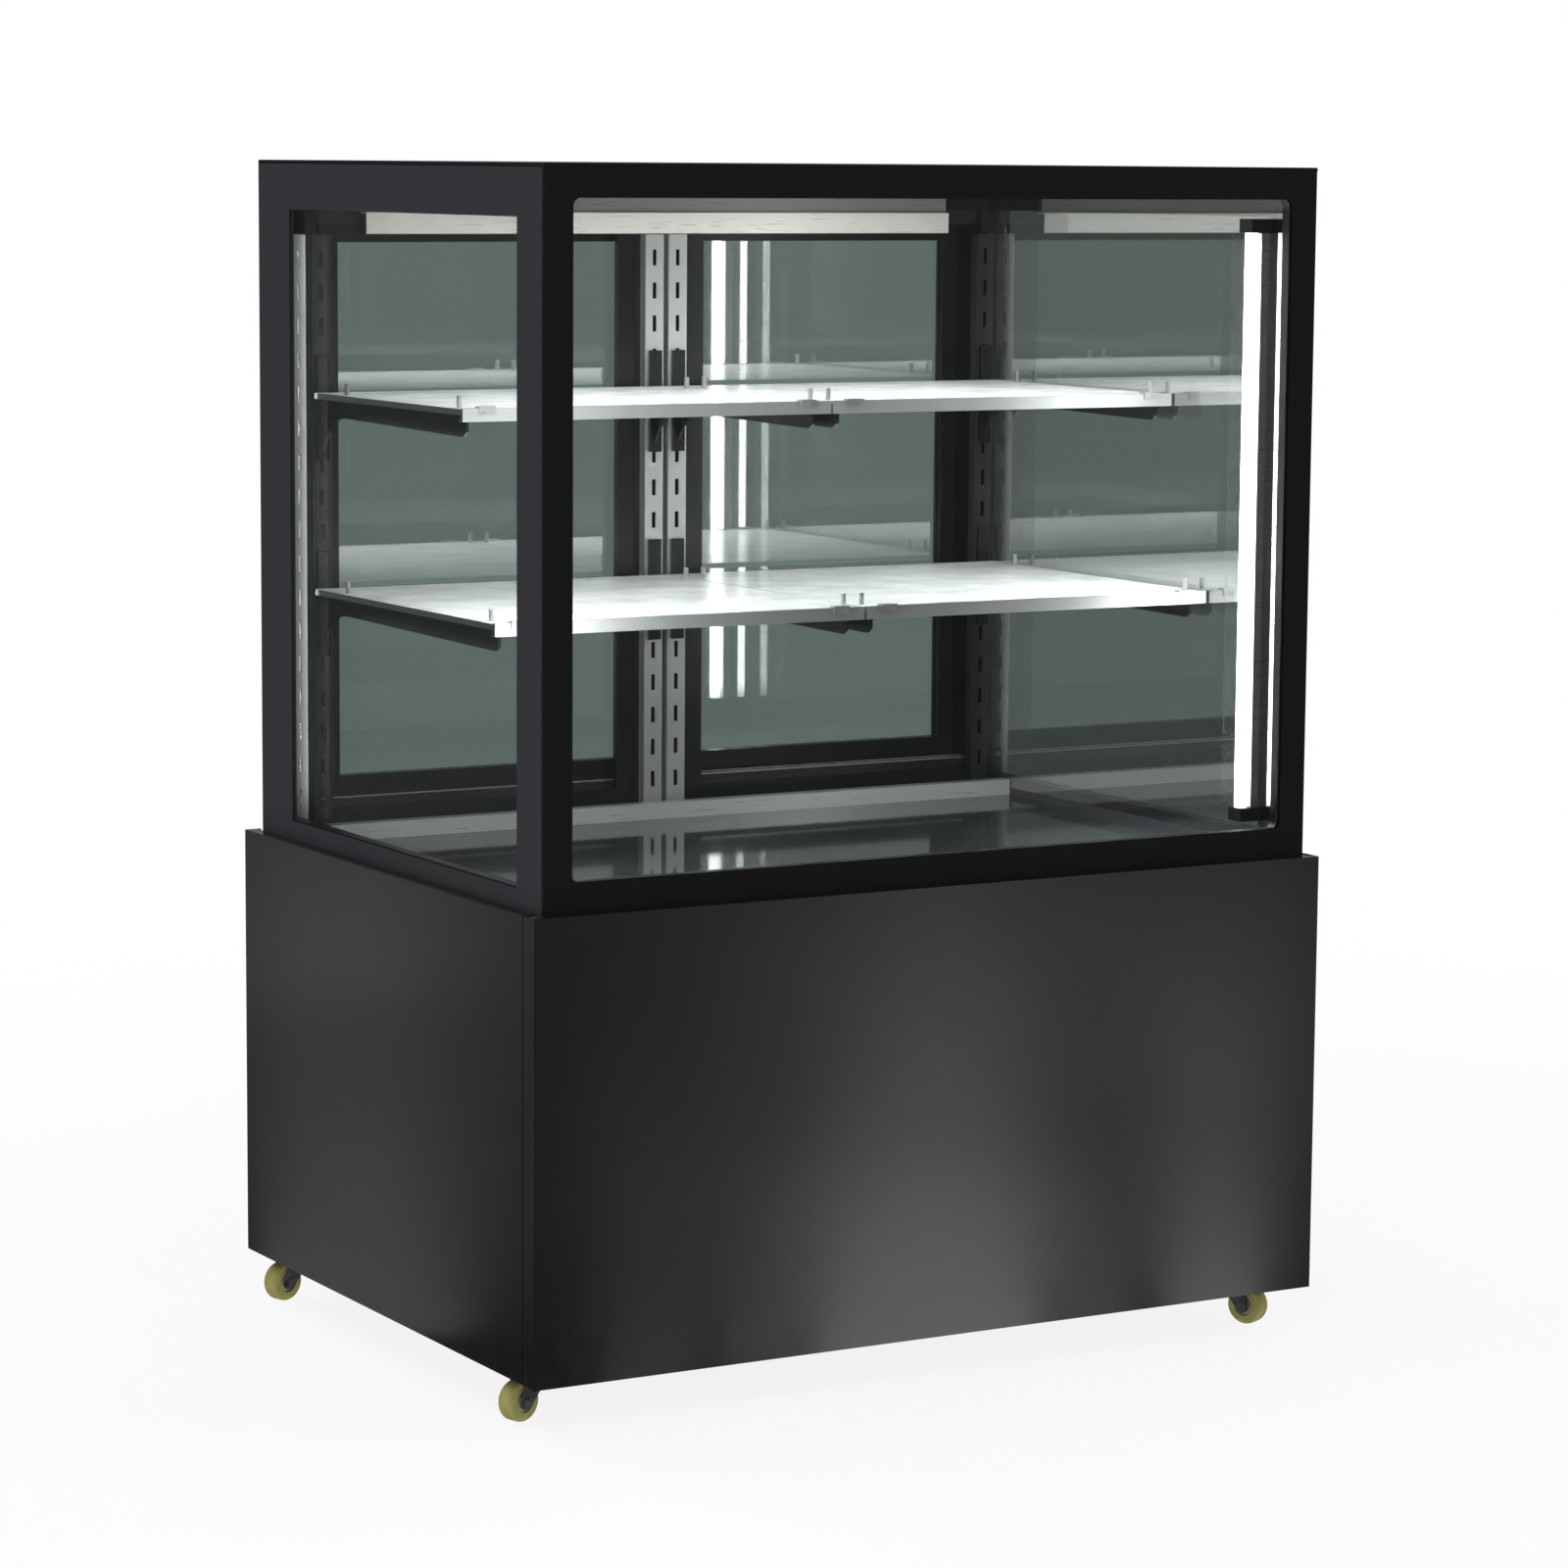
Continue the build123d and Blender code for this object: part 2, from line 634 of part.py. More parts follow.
cold_floor = tub_bottom + tub_floor
evaporator_x = (-330.0, 90.0)
evaporator_y = (120.0, 180.0)
evaporator_z = (cold_floor, cold_floor + 104)
with BuildPart() as evaporator_coil:
    finned_coil(evaporator_x, evaporator_y, evaporator_z, fin_count=36, tube_rows=4)
save(evaporator_coil, "evaporator_coil")

cold_fan_x = 230.0
cold_fan_z = cold_floor + 56
cold_fan_radius = 48.0
cold_motor_y = 96.0
cold_hub_y = 160.0
with BuildPart() as evaporator_fan_motor:
    fan_motor(cold_fan_x, cold_motor_y, cold_fan_z, 26.0, 36.0, cold_hub_y + 8)
    foot_x = (cold_fan_x - 20, cold_fan_x + 20)
    block(foot_x, (cold_motor_y + 4, cold_motor_y + 28), (cold_floor, cold_fan_z - 10))
save(evaporator_fan_motor, "evaporator_fan_motor")

with BuildPart() as evaporator_fan:
    fan_blades(cold_fan_x, cold_hub_y, cold_fan_z, cold_fan_radius, 5)
save(evaporator_fan, "evaporator_fan")

deck_half_width = inside_half_width - 0.5
deck_front = inside_front + 0.5
deck_rear = rear_face - 0.5
with BuildPart() as deck_panel:
    block((-deck_half_width, deck_half_width), (deck_front, deck_rear), (deck_top - deck_sheet, deck_top))
    with BuildSketch(Plane.XY.offset(deck_top - deck_sheet)):
        for row_y in (deck_front + 26, deck_rear - 22):
            with Locations((0, row_y)):
                with GridLocations(38, 1, 20, 1):
                    SlotOverall(28, 6)
    extrude(amount=deck_sheet, mode=Mode.SUBTRACT)
save(deck_panel, "deck_panel")

# ---------------------------------------------------------------- glazing: panes and black edge frames
with BuildPart() as front_glass:
    outer_x = (-glass_half_width, glass_half_width)
    block(outer_x, (glass_front, glass_front + outer_pane), (glass_bottom, glass_top))
    chamfer(front_glass.edges().filter_by(Axis.Z).group_by(Axis.Y)[0], 0.8)
    block(
        (-inside_half_width, inside_half_width),
        (inside_front - inner_pane, inside_front),
        (glass_bottom, glass_top),
    )
save(front_glass, "front_glass")

edge_front_y = (glass_front + outer_pane, inside_front - inner_pane)
with BuildPart() as front_edge_frame:
    block((-inside_half_width, inside_half_width), edge_front_y, (glass_bottom, glass_top))
    with BuildSketch(Plane.XZ.offset(-edge_front_y[0])):
        opening_half = glass_half_width - front_border_side
        with Locations((0, (front_border_bottom + front_border_top) / 2)):
            RectangleRounded(2 * opening_half, front_border_top - front_border_bottom, 8.0)
    extrude(amount=-pane_gap, mode=Mode.SUBTRACT)
save(front_edge_frame, "front_edge_frame")

side_unit_y = (glass_front + outer_pane, glass_rear)
for side, name in ((-1, "left"), (1, "right")):
    with BuildPart() as side_glass:
        outer = both_sides(glass_half_width - outer_pane, glass_half_width, side)
        block(outer, side_unit_y, (glass_bottom, glass_top))
        inner = both_sides(inside_half_width, inside_half_width + inner_pane, side)
        block(inner, side_unit_y, (glass_bottom, glass_top))
    save(side_glass, f"{name}_glass")
    with BuildPart() as side_edge_frame:
        gap = both_sides(inside_half_width + inner_pane, glass_half_width - outer_pane, side)
        block(gap, side_unit_y, (glass_bottom, glass_top))
        block(
            gap,
            (side_opening_front, side_opening_rear),
            (side_opening_bottom, side_opening_top),
            mode=Mode.SUBTRACT,
        )
    save(side_edge_frame, f"{name}_edge_frame")

with BuildPart() as top_panel:
    block((-glass_half_width, glass_half_width), (glass_front, glass_rear), (glass_top, overall_height))
    chamfer(top_panel.faces().sort_by(Axis.Z)[-1].edges(), 0.8)
    block(
        (-inside_half_width + 0.5, inside_half_width - 0.5),
        (inside_front + 0.5, rear_face - 6),
        (1172.0, glass_top),
    )
save(top_panel, "top_panel")

# ---------------------------------------------------------------- rear frame, tracks and doors
with BuildPart() as rear_frame:
    frame_y = (rear_face, glass_rear)
    for side in (-1, 1):
        post_x = both_sides(inside_half_width - post_width, inside_half_width, side)
        block(post_x, frame_y, (glass_bottom, glass_top))
    block((-inside_half_width, inside_half_width), frame_y, (header_bottom, glass_top))
    block((-inside_half_width, inside_half_width), frame_y, (glass_bottom, sill_top))
    block(
        (-mullion_half_width, mullion_half_width),
        (rear_face, rear_face + mullion_thick),
        (sill_top - 5, header_bottom + 5),
    )
    for side in (-1, 1):
        rebate_x = both_sides(corner_leg_x[0] - slack, inside_half_width, side)
        rebate_y = (rear_face, corner_leg_y[1] + slack)
        block(rebate_x, rebate_y, (deck_top - slack, upright_top + slack), mode=Mode.SUBTRACT)
save(rear_frame, "rear_frame")

opening_half = inside_half_width - post_width
rib_thick = 1.5
rib_ys = (
    inner_door_y - door_thick / 2 - 1.0 - rib_thick,
    (inner_door_y + outer_door_y) / 2 - rib_thick / 2,
    outer_door_y + door_thick / 2 + 1.0,
)
track_y = (rib_ys[0], rib_ys[2] + rib_thick)
with BuildPart() as door_tracks:
    block((-opening_half, opening_half), track_y, (sill_top, sill_top + 2))
    block((-opening_half, opening_half), track_y, (header_bottom - 2, header_bottom))
    for rib_y in rib_ys:
        rib = (rib_y, rib_y + rib_thick)
        block((-opening_half, opening_half), rib, (sill_top, sill_top + 11))
        block((-opening_half, opening_half), rib, (header_bottom - 16, header_bottom))
save(door_tracks, "door_tracks")

pane_groove = 6.0
pull_half_width = 9.0
pull_half_height = 60.0
pull_depth = 9.0
pull_wall = 3.0
pull_z = 800.0
for side, name, door_y in ((-1, "left", inner_door_y), (1, "right", outer_door_y)):
    outer_edge = side * (opening_half - 0.5)
    inner_edge = -side * door_overlap / 2
    door_x = tuple(sorted((outer_edge, inner_edge)))
    faces = (door_y - door_thick / 2, door_y + door_thick / 2)
    pane_x = (door_x[0] + door_stile, door_x[1] - door_stile)
    pane_z = (door_bottom + door_rail, door_top - door_rail)
    pull_x = outer_edge - side * (pull_half_width + 4)
    with BuildPart() as door_frame:
        block(door_x, faces, (door_bottom, door_top))
        block(pane_x, faces, pane_z, mode=Mode.SUBTRACT)
        block(
            (pane_x[0] - pane_groove, pane_x[1] + pane_groove),
            (door_y - door_pane / 2 - 0.1, door_y + door_pane / 2 + 0.1),
            (pane_z[0] - pane_groove, pane_z[1] + pane_groove),
            mode=Mode.SUBTRACT,
        )
        block(
            (pull_x - pull_half_width - 0.1, pull_x + pull_half_width + 0.1),
            (faces[1] - pull_depth, faces[1]),
            (pull_z - pull_half_height - 0.1, pull_z + pull_half_height + 0.1),
            mode=Mode.SUBTRACT,
        )
    save(door_frame, f"{name}_door_frame")
    with BuildPart() as door_glass:
        block(
            (pane_x[0] - pane_groove + slack, pane_x[1] + pane_groove - slack),
            (door_y - door_pane / 2, door_y + door_pane / 2),
            (pane_z[0] - pane_groove + slack, pane_z[1] + pane_groove - slack),
        )
    save(door_glass, f"{name}_door_glass")
    with BuildPart() as door_pull:
        block(
            (pull_x - pull_half_width, pull_x + pull_half_width),
            (faces[1] - pull_depth + 0.1, faces[1]),
            (pull_z - pull_half_height, pull_z + pull_half_height),
        )
        fillet(door_pull.edges().filter_by(Axis.Y), pull_wall)
        block(
            (pull_x - pull_half_width + pull_wall, pull_x + pull_half_width - pull_wall),
            (faces[1] - pull_depth + 2, faces[1]),
            (pull_z - pull_half_height + pull_wall, pull_z + pull_half_height - pull_wall),
            mode=Mode.SUBTRACT,
        )
    save(door_pull, f"{name}_door_pull")

# ---------------------------------------------------------------- stainless strips and lights
strip_sheet = 1.5
strip_half = inside_half_width - 1
header_strip_half = 352.0
header_strip_y = (240.0, rear_face - 0.1)
header_strip_z = (1125.0, 1147.0)
header_face_back = 6.0
deck_rail_y = (196.0, 212.0)
deck_rail_height = 17.0
with BuildPart() as stainless_strips:
    header_x = (-header_strip_half, header_strip_half)
    header_lip_z = (header_strip_z[1] - strip_sheet, header_strip_z[1])
    block(header_x, (header_strip_y[0], header_strip_y[0] + strip_sheet), header_strip_z)
    block(header_x, header_strip_y, header_lip_z)
    block(header_x, (header_strip_y[0] + header_face_back, header_strip_y[1]), (header_strip_z[1], 1170.0))
    rail_x = (-strip_half, strip_half)
    rail_top = deck_top + deck_rail_height
    block(rail_x, (deck_rail_y[0], deck_rail_y[0] + strip_sheet), (deck_top, rail_top))
    block(rail_x, deck_rail_y, (rail_top - strip_sheet, rail_top))
save(stainless_strips, "stainless_strips")

led_x = 398.0
led_y = -270.0
led_radius = 6.5
led_z = (546.0, 1134.0)
with BuildPart() as led_housings:
    for side in (-1, 1):
        x = side * led_x
        back = both_sides(led_x + led_radius + 0.3, inside_half_width - 0.1, side)
        block(back, (led_y - 8, led_y + 8), led_z)
        for end_z in (led_z[0] - 7, led_z[1] + 7):
            cap = both_sides(led_x - led_radius - 1, inside_half_width - 0.1, side)
            block(cap, (led_y - 11, led_y + 11), (end_z - 6.9, end_z + 6.9))
save(led_housings, "led_housings")

with BuildPart() as led_tubes:
    for side in (-1, 1):
        rod((side * led_x, led_y, (led_z[0] + led_z[1]) / 2), led_radius, led_z[1] - led_z[0])
save(led_tubes, "led_tubes")

# ---------------------------------------------------------------- slotted uprights, brackets and shelves
upright_xs = (-corner_upright_x, -centre_upright_x, centre_upright_x, corner_upright_x)
upright_y = (rear_face - upright_depth, rear_face)
slot_tops = [upright_top - 16.0 - slot_pitch * index for index in range(17)]
with BuildPart() as slotted_uprights:
    for x in upright_xs:
        half = upright_width / 2
        block((x - half, x + half), upright_y, (deck_top, upright_top))
        block(
            (x - half + upright_sheet, x + half - upright_sheet),
            (upright_y[0] + upright_sheet, upright_y[1]),
            (deck_top, upright_top),
            mode=Mode.SUBTRACT,
        )
        for slot_top in slot_tops:
            block(
                (x - slot_width / 2, x + slot_width / 2),
                (upright_y[0], upright_y[0] + upright_sheet),
                (slot_top - slot_length, slot_top),
                mode=Mode.SUBTRACT,
            )
    for side in (-1, 1):
        leg_x = both_sides(corner_leg_x[0], corner_leg_x[1], side)
        block(leg_x, corner_leg_y, (deck_top, upright_top))
        slot_y = (corner_leg_slot_y - slot_width / 2, corner_leg_slot_y + slot_width / 2)
        for slot_top in slot_tops:
            block(leg_x, slot_y, (slot_top - slot_length, slot_top), mode=Mode.SUBTRACT)
save(slotted_uprights, "slotted_uprights")

hook_height = 11.0
bracket_root = 64.0
bracket_nose = 22.0
root_plate_half = 7.0
root_plate_y = (237.5, 241.8)
root_plate_above = 38.0


def shelf_bracket(x, shelf_under, shelf_front):
    """Cantilever bracket: deep at the upright, hollowed below, thin and rounded at its nose."""
    root_y = upright_y[0] - 0.3
    nose_y = shelf_front + 12.0
    waist_y = root_y - 62.0
    with BuildSketch(Plane.YZ.offset(x - bracket_thick / 2)) as profile:
        with BuildLine():
            Polyline(
                (root_y, shelf_under - bracket_root),
                (root_y, shelf_under),
                (nose_y, shelf_under),
                (nose_y, shelf_under - bracket_nose + 5),
                (nose_y + 8, shelf_under - bracket_nose),
            )
            Line((nose_y + 8, shelf_under - bracket_nose), (waist_y, shelf_under - bracket_nose + 4))
            RadiusArc((waist_y, shelf_under - bracket_nose + 4), (root_y, shelf_under - bracket_root), 62)
        make_face()
    extrude(profile.sketch, amount=bracket_thick)


with BuildPart() as shelf_brackets:
    for shelf_top, shelf_front in (
        (upper_shelf_top, upper_shelf_front),
        (lower_shelf_top, lower_shelf_front),
    ):
        shelf_under = shelf_top - shelf_glass_thick
        for x in upright_xs:
            shelf_bracket(x, shelf_under, shelf_front)
            root_plate_x = (x - root_plate_half, x + root_plate_half)
            block(root_plate_x, root_plate_y, (shelf_under - bracket_root, shelf_top + root_plate_above))
            for slot_top in slot_tops:
                hook_z = (slot_top - slot_length + 1.0, slot_top - slot_length + 1.0 + hook_height)
                if hook_z[0] > shelf_under - bracket_root and hook_z[1] < shelf_under:
                    hook_x = (x - bracket_thick / 2, x + bracket_thick / 2)
                    block(hook_x, (upright_y[0] - 4, upright_y[0] + 5), hook_z)
save(shelf_brackets, "shelf_brackets")

shelf_gap = 1.5
front_trim_depth = 6.0
shelf_outer = inside_half_width - 2.0
levels = (
    ("upper", upper_shelf_top, upper_shelf_front),
    ("lower", lower_shelf_top, lower_shelf_front),
)
for level, shelf_top, shelf_front in levels:
    for side, hand in ((-1, "left"), (1, "right")):
        with BuildPart() as shelf:
            span = both_sides(shelf_gap, shelf_outer, side)
            pane_y = (shelf_front + front_trim_depth, shelf_rear)
            block(span, pane_y, (shelf_top - shelf_glass_thick, shelf_top))
            chamfer(shelf.edges().filter_by(Axis.X).group_by(Axis.Y)[-1], 0.6)
        save(shelf, f"{level}_{hand}_shelf")

trim_height = 13.0
with BuildPart() as shelf_front_trims:
    for level, shelf_top, shelf_front in levels:
        for side in (-1, 1):
            span = both_sides(shelf_gap, shelf_outer, side)
            trim_y = (shelf_front, shelf_front + front_trim_depth + 3)
            trim_z = (shelf_top + 0.6 - trim_height, shelf_top + 0.6)
            block(span, trim_y, trim_z)
            block(
                span,
                (shelf_front + front_trim_depth, trim_y[1]),
                (trim_z[0] + 1.5, trim_z[1] + 1),
                mode=Mode.SUBTRACT,
            )
save(shelf_front_trims, "shelf_front_trims")

clip_half = 9.0
clip_inset = 26.0
clip_sheet = 1.5
pin_inset = 9.0
pin_front_inset = 26.0
pin_rear_inset = 60.0
pin_height = 12.0
with BuildPart() as shelf_clips:
    for level, shelf_top, shelf_front in levels:
        for side in (-1, 1):
            for end in (shelf_gap + clip_inset, shelf_outer - clip_inset):
                clip_x = both_sides(end - clip_half, end + clip_half, side)
                clip_front = shelf_front - 0.1 - clip_sheet
                clip_z = (shelf_top + 0.7, shelf_top + 0.7 + clip_sheet)
                block(clip_x, (clip_front, shelf_front + 8), clip_z)
                block(clip_x, (clip_front, clip_front + clip_sheet), (shelf_top - 5, clip_z[1]))
            for end in (shelf_gap + pin_inset, shelf_outer - pin_inset):
                for pin_y in (shelf_front + pin_front_inset, shelf_rear - pin_rear_inset):
                    rod((side * end, pin_y, shelf_top + 0.1 + pin_height / 2), 2.6, pin_height)
save(shelf_clips, "shelf_clips")
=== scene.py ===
"""Looks of the refrigerated deli case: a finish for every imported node, and the stage, lights and camera."""

import math

import bpy
from mathutils import Matrix, Vector


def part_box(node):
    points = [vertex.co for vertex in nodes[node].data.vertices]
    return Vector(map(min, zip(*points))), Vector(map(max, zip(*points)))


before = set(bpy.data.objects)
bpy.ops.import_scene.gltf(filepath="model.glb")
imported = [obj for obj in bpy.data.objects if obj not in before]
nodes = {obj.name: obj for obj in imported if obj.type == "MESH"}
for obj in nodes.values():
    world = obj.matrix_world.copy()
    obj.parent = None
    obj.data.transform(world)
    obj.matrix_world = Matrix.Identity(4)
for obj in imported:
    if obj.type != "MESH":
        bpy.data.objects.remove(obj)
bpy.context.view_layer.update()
MM = 0.001
CORNERS = ("front_left", "front_right", "rear_left", "rear_right")
SATIN_PANELS = ("front_panel", "left_side_panel", "right_side_panel")


class Finish:
    """A node-based material, with short calls for the nodes that the finishes share."""

    def __init__(self, name, tree=None):
        if tree is None:
            self.material = bpy.data.materials.new(name)
            self.material.use_nodes = True
            tree = self.material.node_tree
        self.tree = tree
        self.tree.nodes.clear()
        self.place = self.node("ShaderNodeTexCoord").outputs["Object"]

    def node(self, kind, inputs=None, **properties):
        made = self.tree.nodes.new(kind)
        for key, value in properties.items():
            setattr(made, key, value)
        for key, value in (inputs or {}).items():
            if isinstance(value, bpy.types.NodeSocket):
                self.tree.links.new(value, made.inputs[key])
            else:
                made.inputs[key].default_value = value
        return made

    def noise(self, scale, stretch=(1, 1, 1), detail=3.0, roughness=0.55):
        """Noise with this many cells to the metre, packed closer along an axis with a larger stretch."""
        place = self.node("ShaderNodeMapping", {"Vector": self.place, "Scale": stretch}).outputs[0]
        inputs = {"Vector": place, "Scale": scale, "Detail": detail, "Roughness": roughness}
        return self.node("ShaderNodeTexNoise", inputs).outputs["Fac"]

    def spread(self, value, low, high, start=0.3, end=0.7):
        """low where value is start or less, high where it is end or more."""
        inputs = {"Value": value, "From Min": start, "From Max": end, "To Min": low, "To Max": high}
        return self.node("ShaderNodeMapRange", inputs).outputs[0]

    def smooth(self, value, start, end):
        """0 to 1 on a soft S curve as value goes from start to end."""
        inputs = {"Value": value, "From Min": start, "From Max": end}
        return self.node("ShaderNodeMapRange", inputs, interpolation_type="SMOOTHSTEP").outputs[0]

    def math(self, operation, first, second=0.0):
        return self.node("ShaderNodeMath", {0: first, 1: second}, operation=operation).outputs[0]

    def beyond(self, places, middle, half, radius):
        """How far a point lies outside a rounded rectangle; places are its coordinates along two axes."""
        over = []
        for place, centre, reach in zip(places, middle, half):
            away = self.math("ABSOLUTE", self.math("SUBTRACT", place, centre))
            over.append(self.math("SUBTRACT", away, reach - radius))
        squares = []
        for value in over:
            outside = self.math("MAXIMUM", value, 0.0)
            squares.append(self.math("MULTIPLY", outside, outside))
        corner = self.math("SQRT", self.math("ADD", *squares))
        inside = self.math("MINIMUM", self.math("MAXIMUM", *over), 0.0)
        return self.math("SUBTRACT", self.math("ADD", corner, inside), radius)

    def axes(self, vector=None):
        return self.node("ShaderNodeSeparateXYZ", {0: vector or self.place}).outputs

    def mixed(self, factor, first, second):
        """The colour first where factor is 0, second where it is 1."""
        return self.node("ShaderNodeMix", {0: factor, 6: first, 7: second}, data_type="RGBA").outputs[2]

    def drift(self, scale, first, second, detail=3.0):
        """A colour that wanders from first to second and back, in patches of noise."""
        return self.mixed(self.spread(self.noise(scale, detail=detail), 0.0, 1.0), first, second)

    def bump(self, height, strength, distance=0.3 * MM):
        inputs = {"Height": height, "Strength": strength, "Distance": distance}
        return self.node("ShaderNodeBump", inputs).outputs[0]

    def brush_bump(self, lines, strength):
        return self.bump(lines, strength, 0.05 * MM)

    def shader_mix(self, share, first, second):
        """The shader first where share is 0, second where it is 1."""
        return self.node("ShaderNodeMixShader", {0: share, 1: first, 2: second}).outputs[0]

    def emission(self, colour):
        return self.node("ShaderNodeEmission", {"Color": colour}).outputs[0]

    def surface(self, **inputs):
        """A Principled shader, with its inputs named in lower case, on the material's output."""
        titled = {key.replace("_", " ").title().replace("Ior", "IOR"): value for key, value in inputs.items()}
        shader = self.node("ShaderNodeBsdfPrincipled", titled)
        self.finish(shader.outputs[0])
        return self.material

    def finish(self, shader, kind="ShaderNodeOutputMaterial"):
        self.tree.links.new(shader, self.node(kind).inputs["Surface"])


class Window:
    """The clear part of a glass body's outermost pane; the rest of that pane is enamelled.
    along and depth are the axes across the pane and through it, and outermost is how far along depth, from the
    middle of the case, that pane starts. middle and half are the clear part's middle and half sizes, across and
    up, radius is that of its corners, and inks are the enamel's dark and light tone."""

    def __init__(self, along, depth, outermost, middle, half, radius, inks):
        self.along, self.depth, self.outermost = along, depth, outermost
        self.middle, self.half, self.radius = middle, half, radius
        self.inks = inks


def rgb(red, green, blue):
    return (red, green, blue, 1.0)


# ---- Finishes ----

# A brushed surface's fine lines: their cells to the metre, and how they are drawn out along the grain.
BRUSH_CELLS = 1040.0
GRAIN_ALONG_X = (0.02, 1, 1)
GRAIN_ALONG_Z = (1, 1, 0.02)
# Dust gathers below this height on the base, in full from the lower one down.
DUST_TOP, DUST_FULL = 0.16, 0.05
DUST = rgb(0.11, 0.1, 0.085)


def satin_coat(name, dark, light, roughness, peel=700.0, dust=0.0):
    """Baked powder coat: orange peel, uneven sheen, fine rubbed lines, and dust low down where it is asked for."""
    f = Finish(name)
    colour = f.drift(6.0, dark, light)
    rubbed = f.noise(40.0, (1, 1, 22), 4.0)
    sheen = f.spread(rubbed, roughness - 0.015, roughness + 0.015)
    if dust:
        low = f.smooth(f.axes()["Z"], DUST_TOP, DUST_FULL)
        patches = f.math("MULTIPLY", low, f.spread(f.noise(55.0, detail=6.0), 0.0, dust, 0.4, 0.75))
        colour = f.mixed(patches, colour, DUST)
    height = f.noise(peel, detail=1.0)
    return f.surface(base_color=colour, roughness=sheen, normal=f.bump(height, 0.012))


def speckled(f, dark, light):
    """The colour of fired enamel, with the fine speckle of its screen print."""
    speck = f.spread(f.noise(1900.0, detail=1.0), 0.0, 1.0, 0.45, 0.62)
    return f.mixed(speck, dark, light)


def frit(name, dark, light):
    """Black ceramic enamel behind the glass, and the matt black of the top: deep, even, finely speckled."""
    f = Finish(name)
    return f.surface(base_color=speckled(f, dark, light), roughness=f.spread(f.noise(25.0), 0.34, 0.44))


def enamel_cover(f, edges, window):
    """1 where a glass body is enamelled, 0 where it is clear."""
    black = 0.0
    for axis, start, full in edges:
        black = f.math("MAXIMUM", black, f.smooth(f.axes()[axis], start, full))
    across, up = f.axes()[window.along], f.axes()["Z"]
    outside = f.beyond((across, up), window.middle, window.half, window.radius)
    depth = f.math("ABSOLUTE", f.axes()[window.depth])
    outermost = f.math("GREATER_THAN", depth, window.outermost)
    border = f.math("MULTIPLY", f.smooth(outside, -0.3 * MM, 0.3 * MM), outermost)
    return f.math("MAXIMUM", black, border)


def clear_glass(name, passed, reflect, film, edges=(), window=None, coated=0.0):
    """A pane: each face passes the tint, the faces met from outside mirror, and a faint film shows in patches.
    reflect is the refractive index that sets how strongly it mirrors, and film is the share of the film.
    edges gives the margins that are enamelled black: an axis, where the black starts and where it is full.
    coated gives the share mirrored by a heat-reflecting coat on the faces turned to the middle of the case."""
    f = Finish(name)
    inward = f.node("ShaderNodeNewGeometry").outputs["Backfacing"]
    outward = f.math("SUBTRACT", 1.0, inward)
    mirror = f.math("MULTIPLY", f.node("ShaderNodeFresnel", {"IOR": reflect}).outputs[0], outward)
    if coated:
        turned = f.axes(f.node("ShaderNodeNewGeometry").outputs["True Normal"])["X"]
        inner = f.math("LESS_THAN", f.math("MULTIPLY", turned, f.axes()["X"]), 0.0)
        coat = f.math("MULTIPLY", f.math("MULTIPLY", inner, coated), outward)
        mirror = f.math("MAXIMUM", mirror, coat)
    wiped = f.noise(9.0, (1, 1, 3), 5.0)
    clear = f.node("ShaderNodeBsdfTransparent", {"Color": passed}).outputs[0]
    gloss = f.node("ShaderNodeBsdfGlossy", {"Roughness": f.spread(wiped, 0.0, 0.035)}).outputs[0]
    haze = f.node("ShaderNodeBsdfDiffuse", {"Color": rgb(0.7, 0.74, 0.73)}).outputs[0]
    hazed = f.math("MULTIPLY", f.spread(wiped, 0.0, film, 0.35, 0.8), outward)
    pane = f.shader_mix(hazed, f.shader_mix(mirror, clear, gloss), haze)
    if window:
        ink = {
            "Base Color": speckled(f, *window.inks),
            "Roughness": f.spread(f.noise(25.0), 0.05, 0.1),
        }
        enamelled = f.node("ShaderNodeBsdfPrincipled", ink).outputs[0]
        pane = f.shader_mix(enamel_cover(f, edges, window), pane, enamelled)
    f.finish(pane)
    return f.material


def brushed(name, dark, light, roughness, metallic):
    """Brushed metal with its grain along X, drifting tone, and a few longer scratches."""
    f = Finish(name)
    lines = f.noise(BRUSH_CELLS, GRAIN_ALONG_X, 2.0)
    scratch = f.spread(f.noise(BRUSH_CELLS / 4, GRAIN_ALONG_X, 0.0), 0.0, 0.08, 0.66, 0.72)
    rough = f.math("ADD", f.spread(lines, roughness - 0.03, roughness + 0.03), scratch)
    return f.surface(
        base_color=f.drift(5.0, dark, light, 4.0), metallic=metallic, roughness=rough,
        normal=f.brush_bump(lines, 0.015),
    )


def slotted_finish(name):
    """Brushed slotted steel; the front leg of each corner upright is painted black as painted shade, so that it
    vanishes against the frame, and its side leg is a duller satin."""
    f = Finish(name)
    across, depth, _ = f.axes()
    lines = f.noise(BRUSH_CELLS, GRAIN_ALONG_Z, 2.0)
    steel = f.drift(5.0, rgb(0.46, 0.47, 0.46), rgb(0.58, 0.59, 0.58), 4.0)
    corner = f.math("GREATER_THAN", f.math("ABSOLUTE", across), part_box("stainless_strips")[1].x / 2)
    leg = f.math("GREATER_THAN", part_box("rear_frame")[0].y, depth)
    # Painted shade: the front leg of each corner upright is coloured near black.
    black = f.math("MULTIPLY", corner, leg)
    satin = f.math("MULTIPLY", corner, f.math("SUBTRACT", 1.0, leg))
    shine = f.math("SUBTRACT", f.spread(satin, 0.85, 0.25, 0.0, 1.0), black)
    return f.surface(
        base_color=f.mixed(black, steel, rgb(0.006, 0.006, 0.006)), metallic=f.math("MAXIMUM", shine, 0.0),
        roughness=f.spread(lines, 0.31, 0.39), normal=f.brush_bump(lines, 0.006),
    )


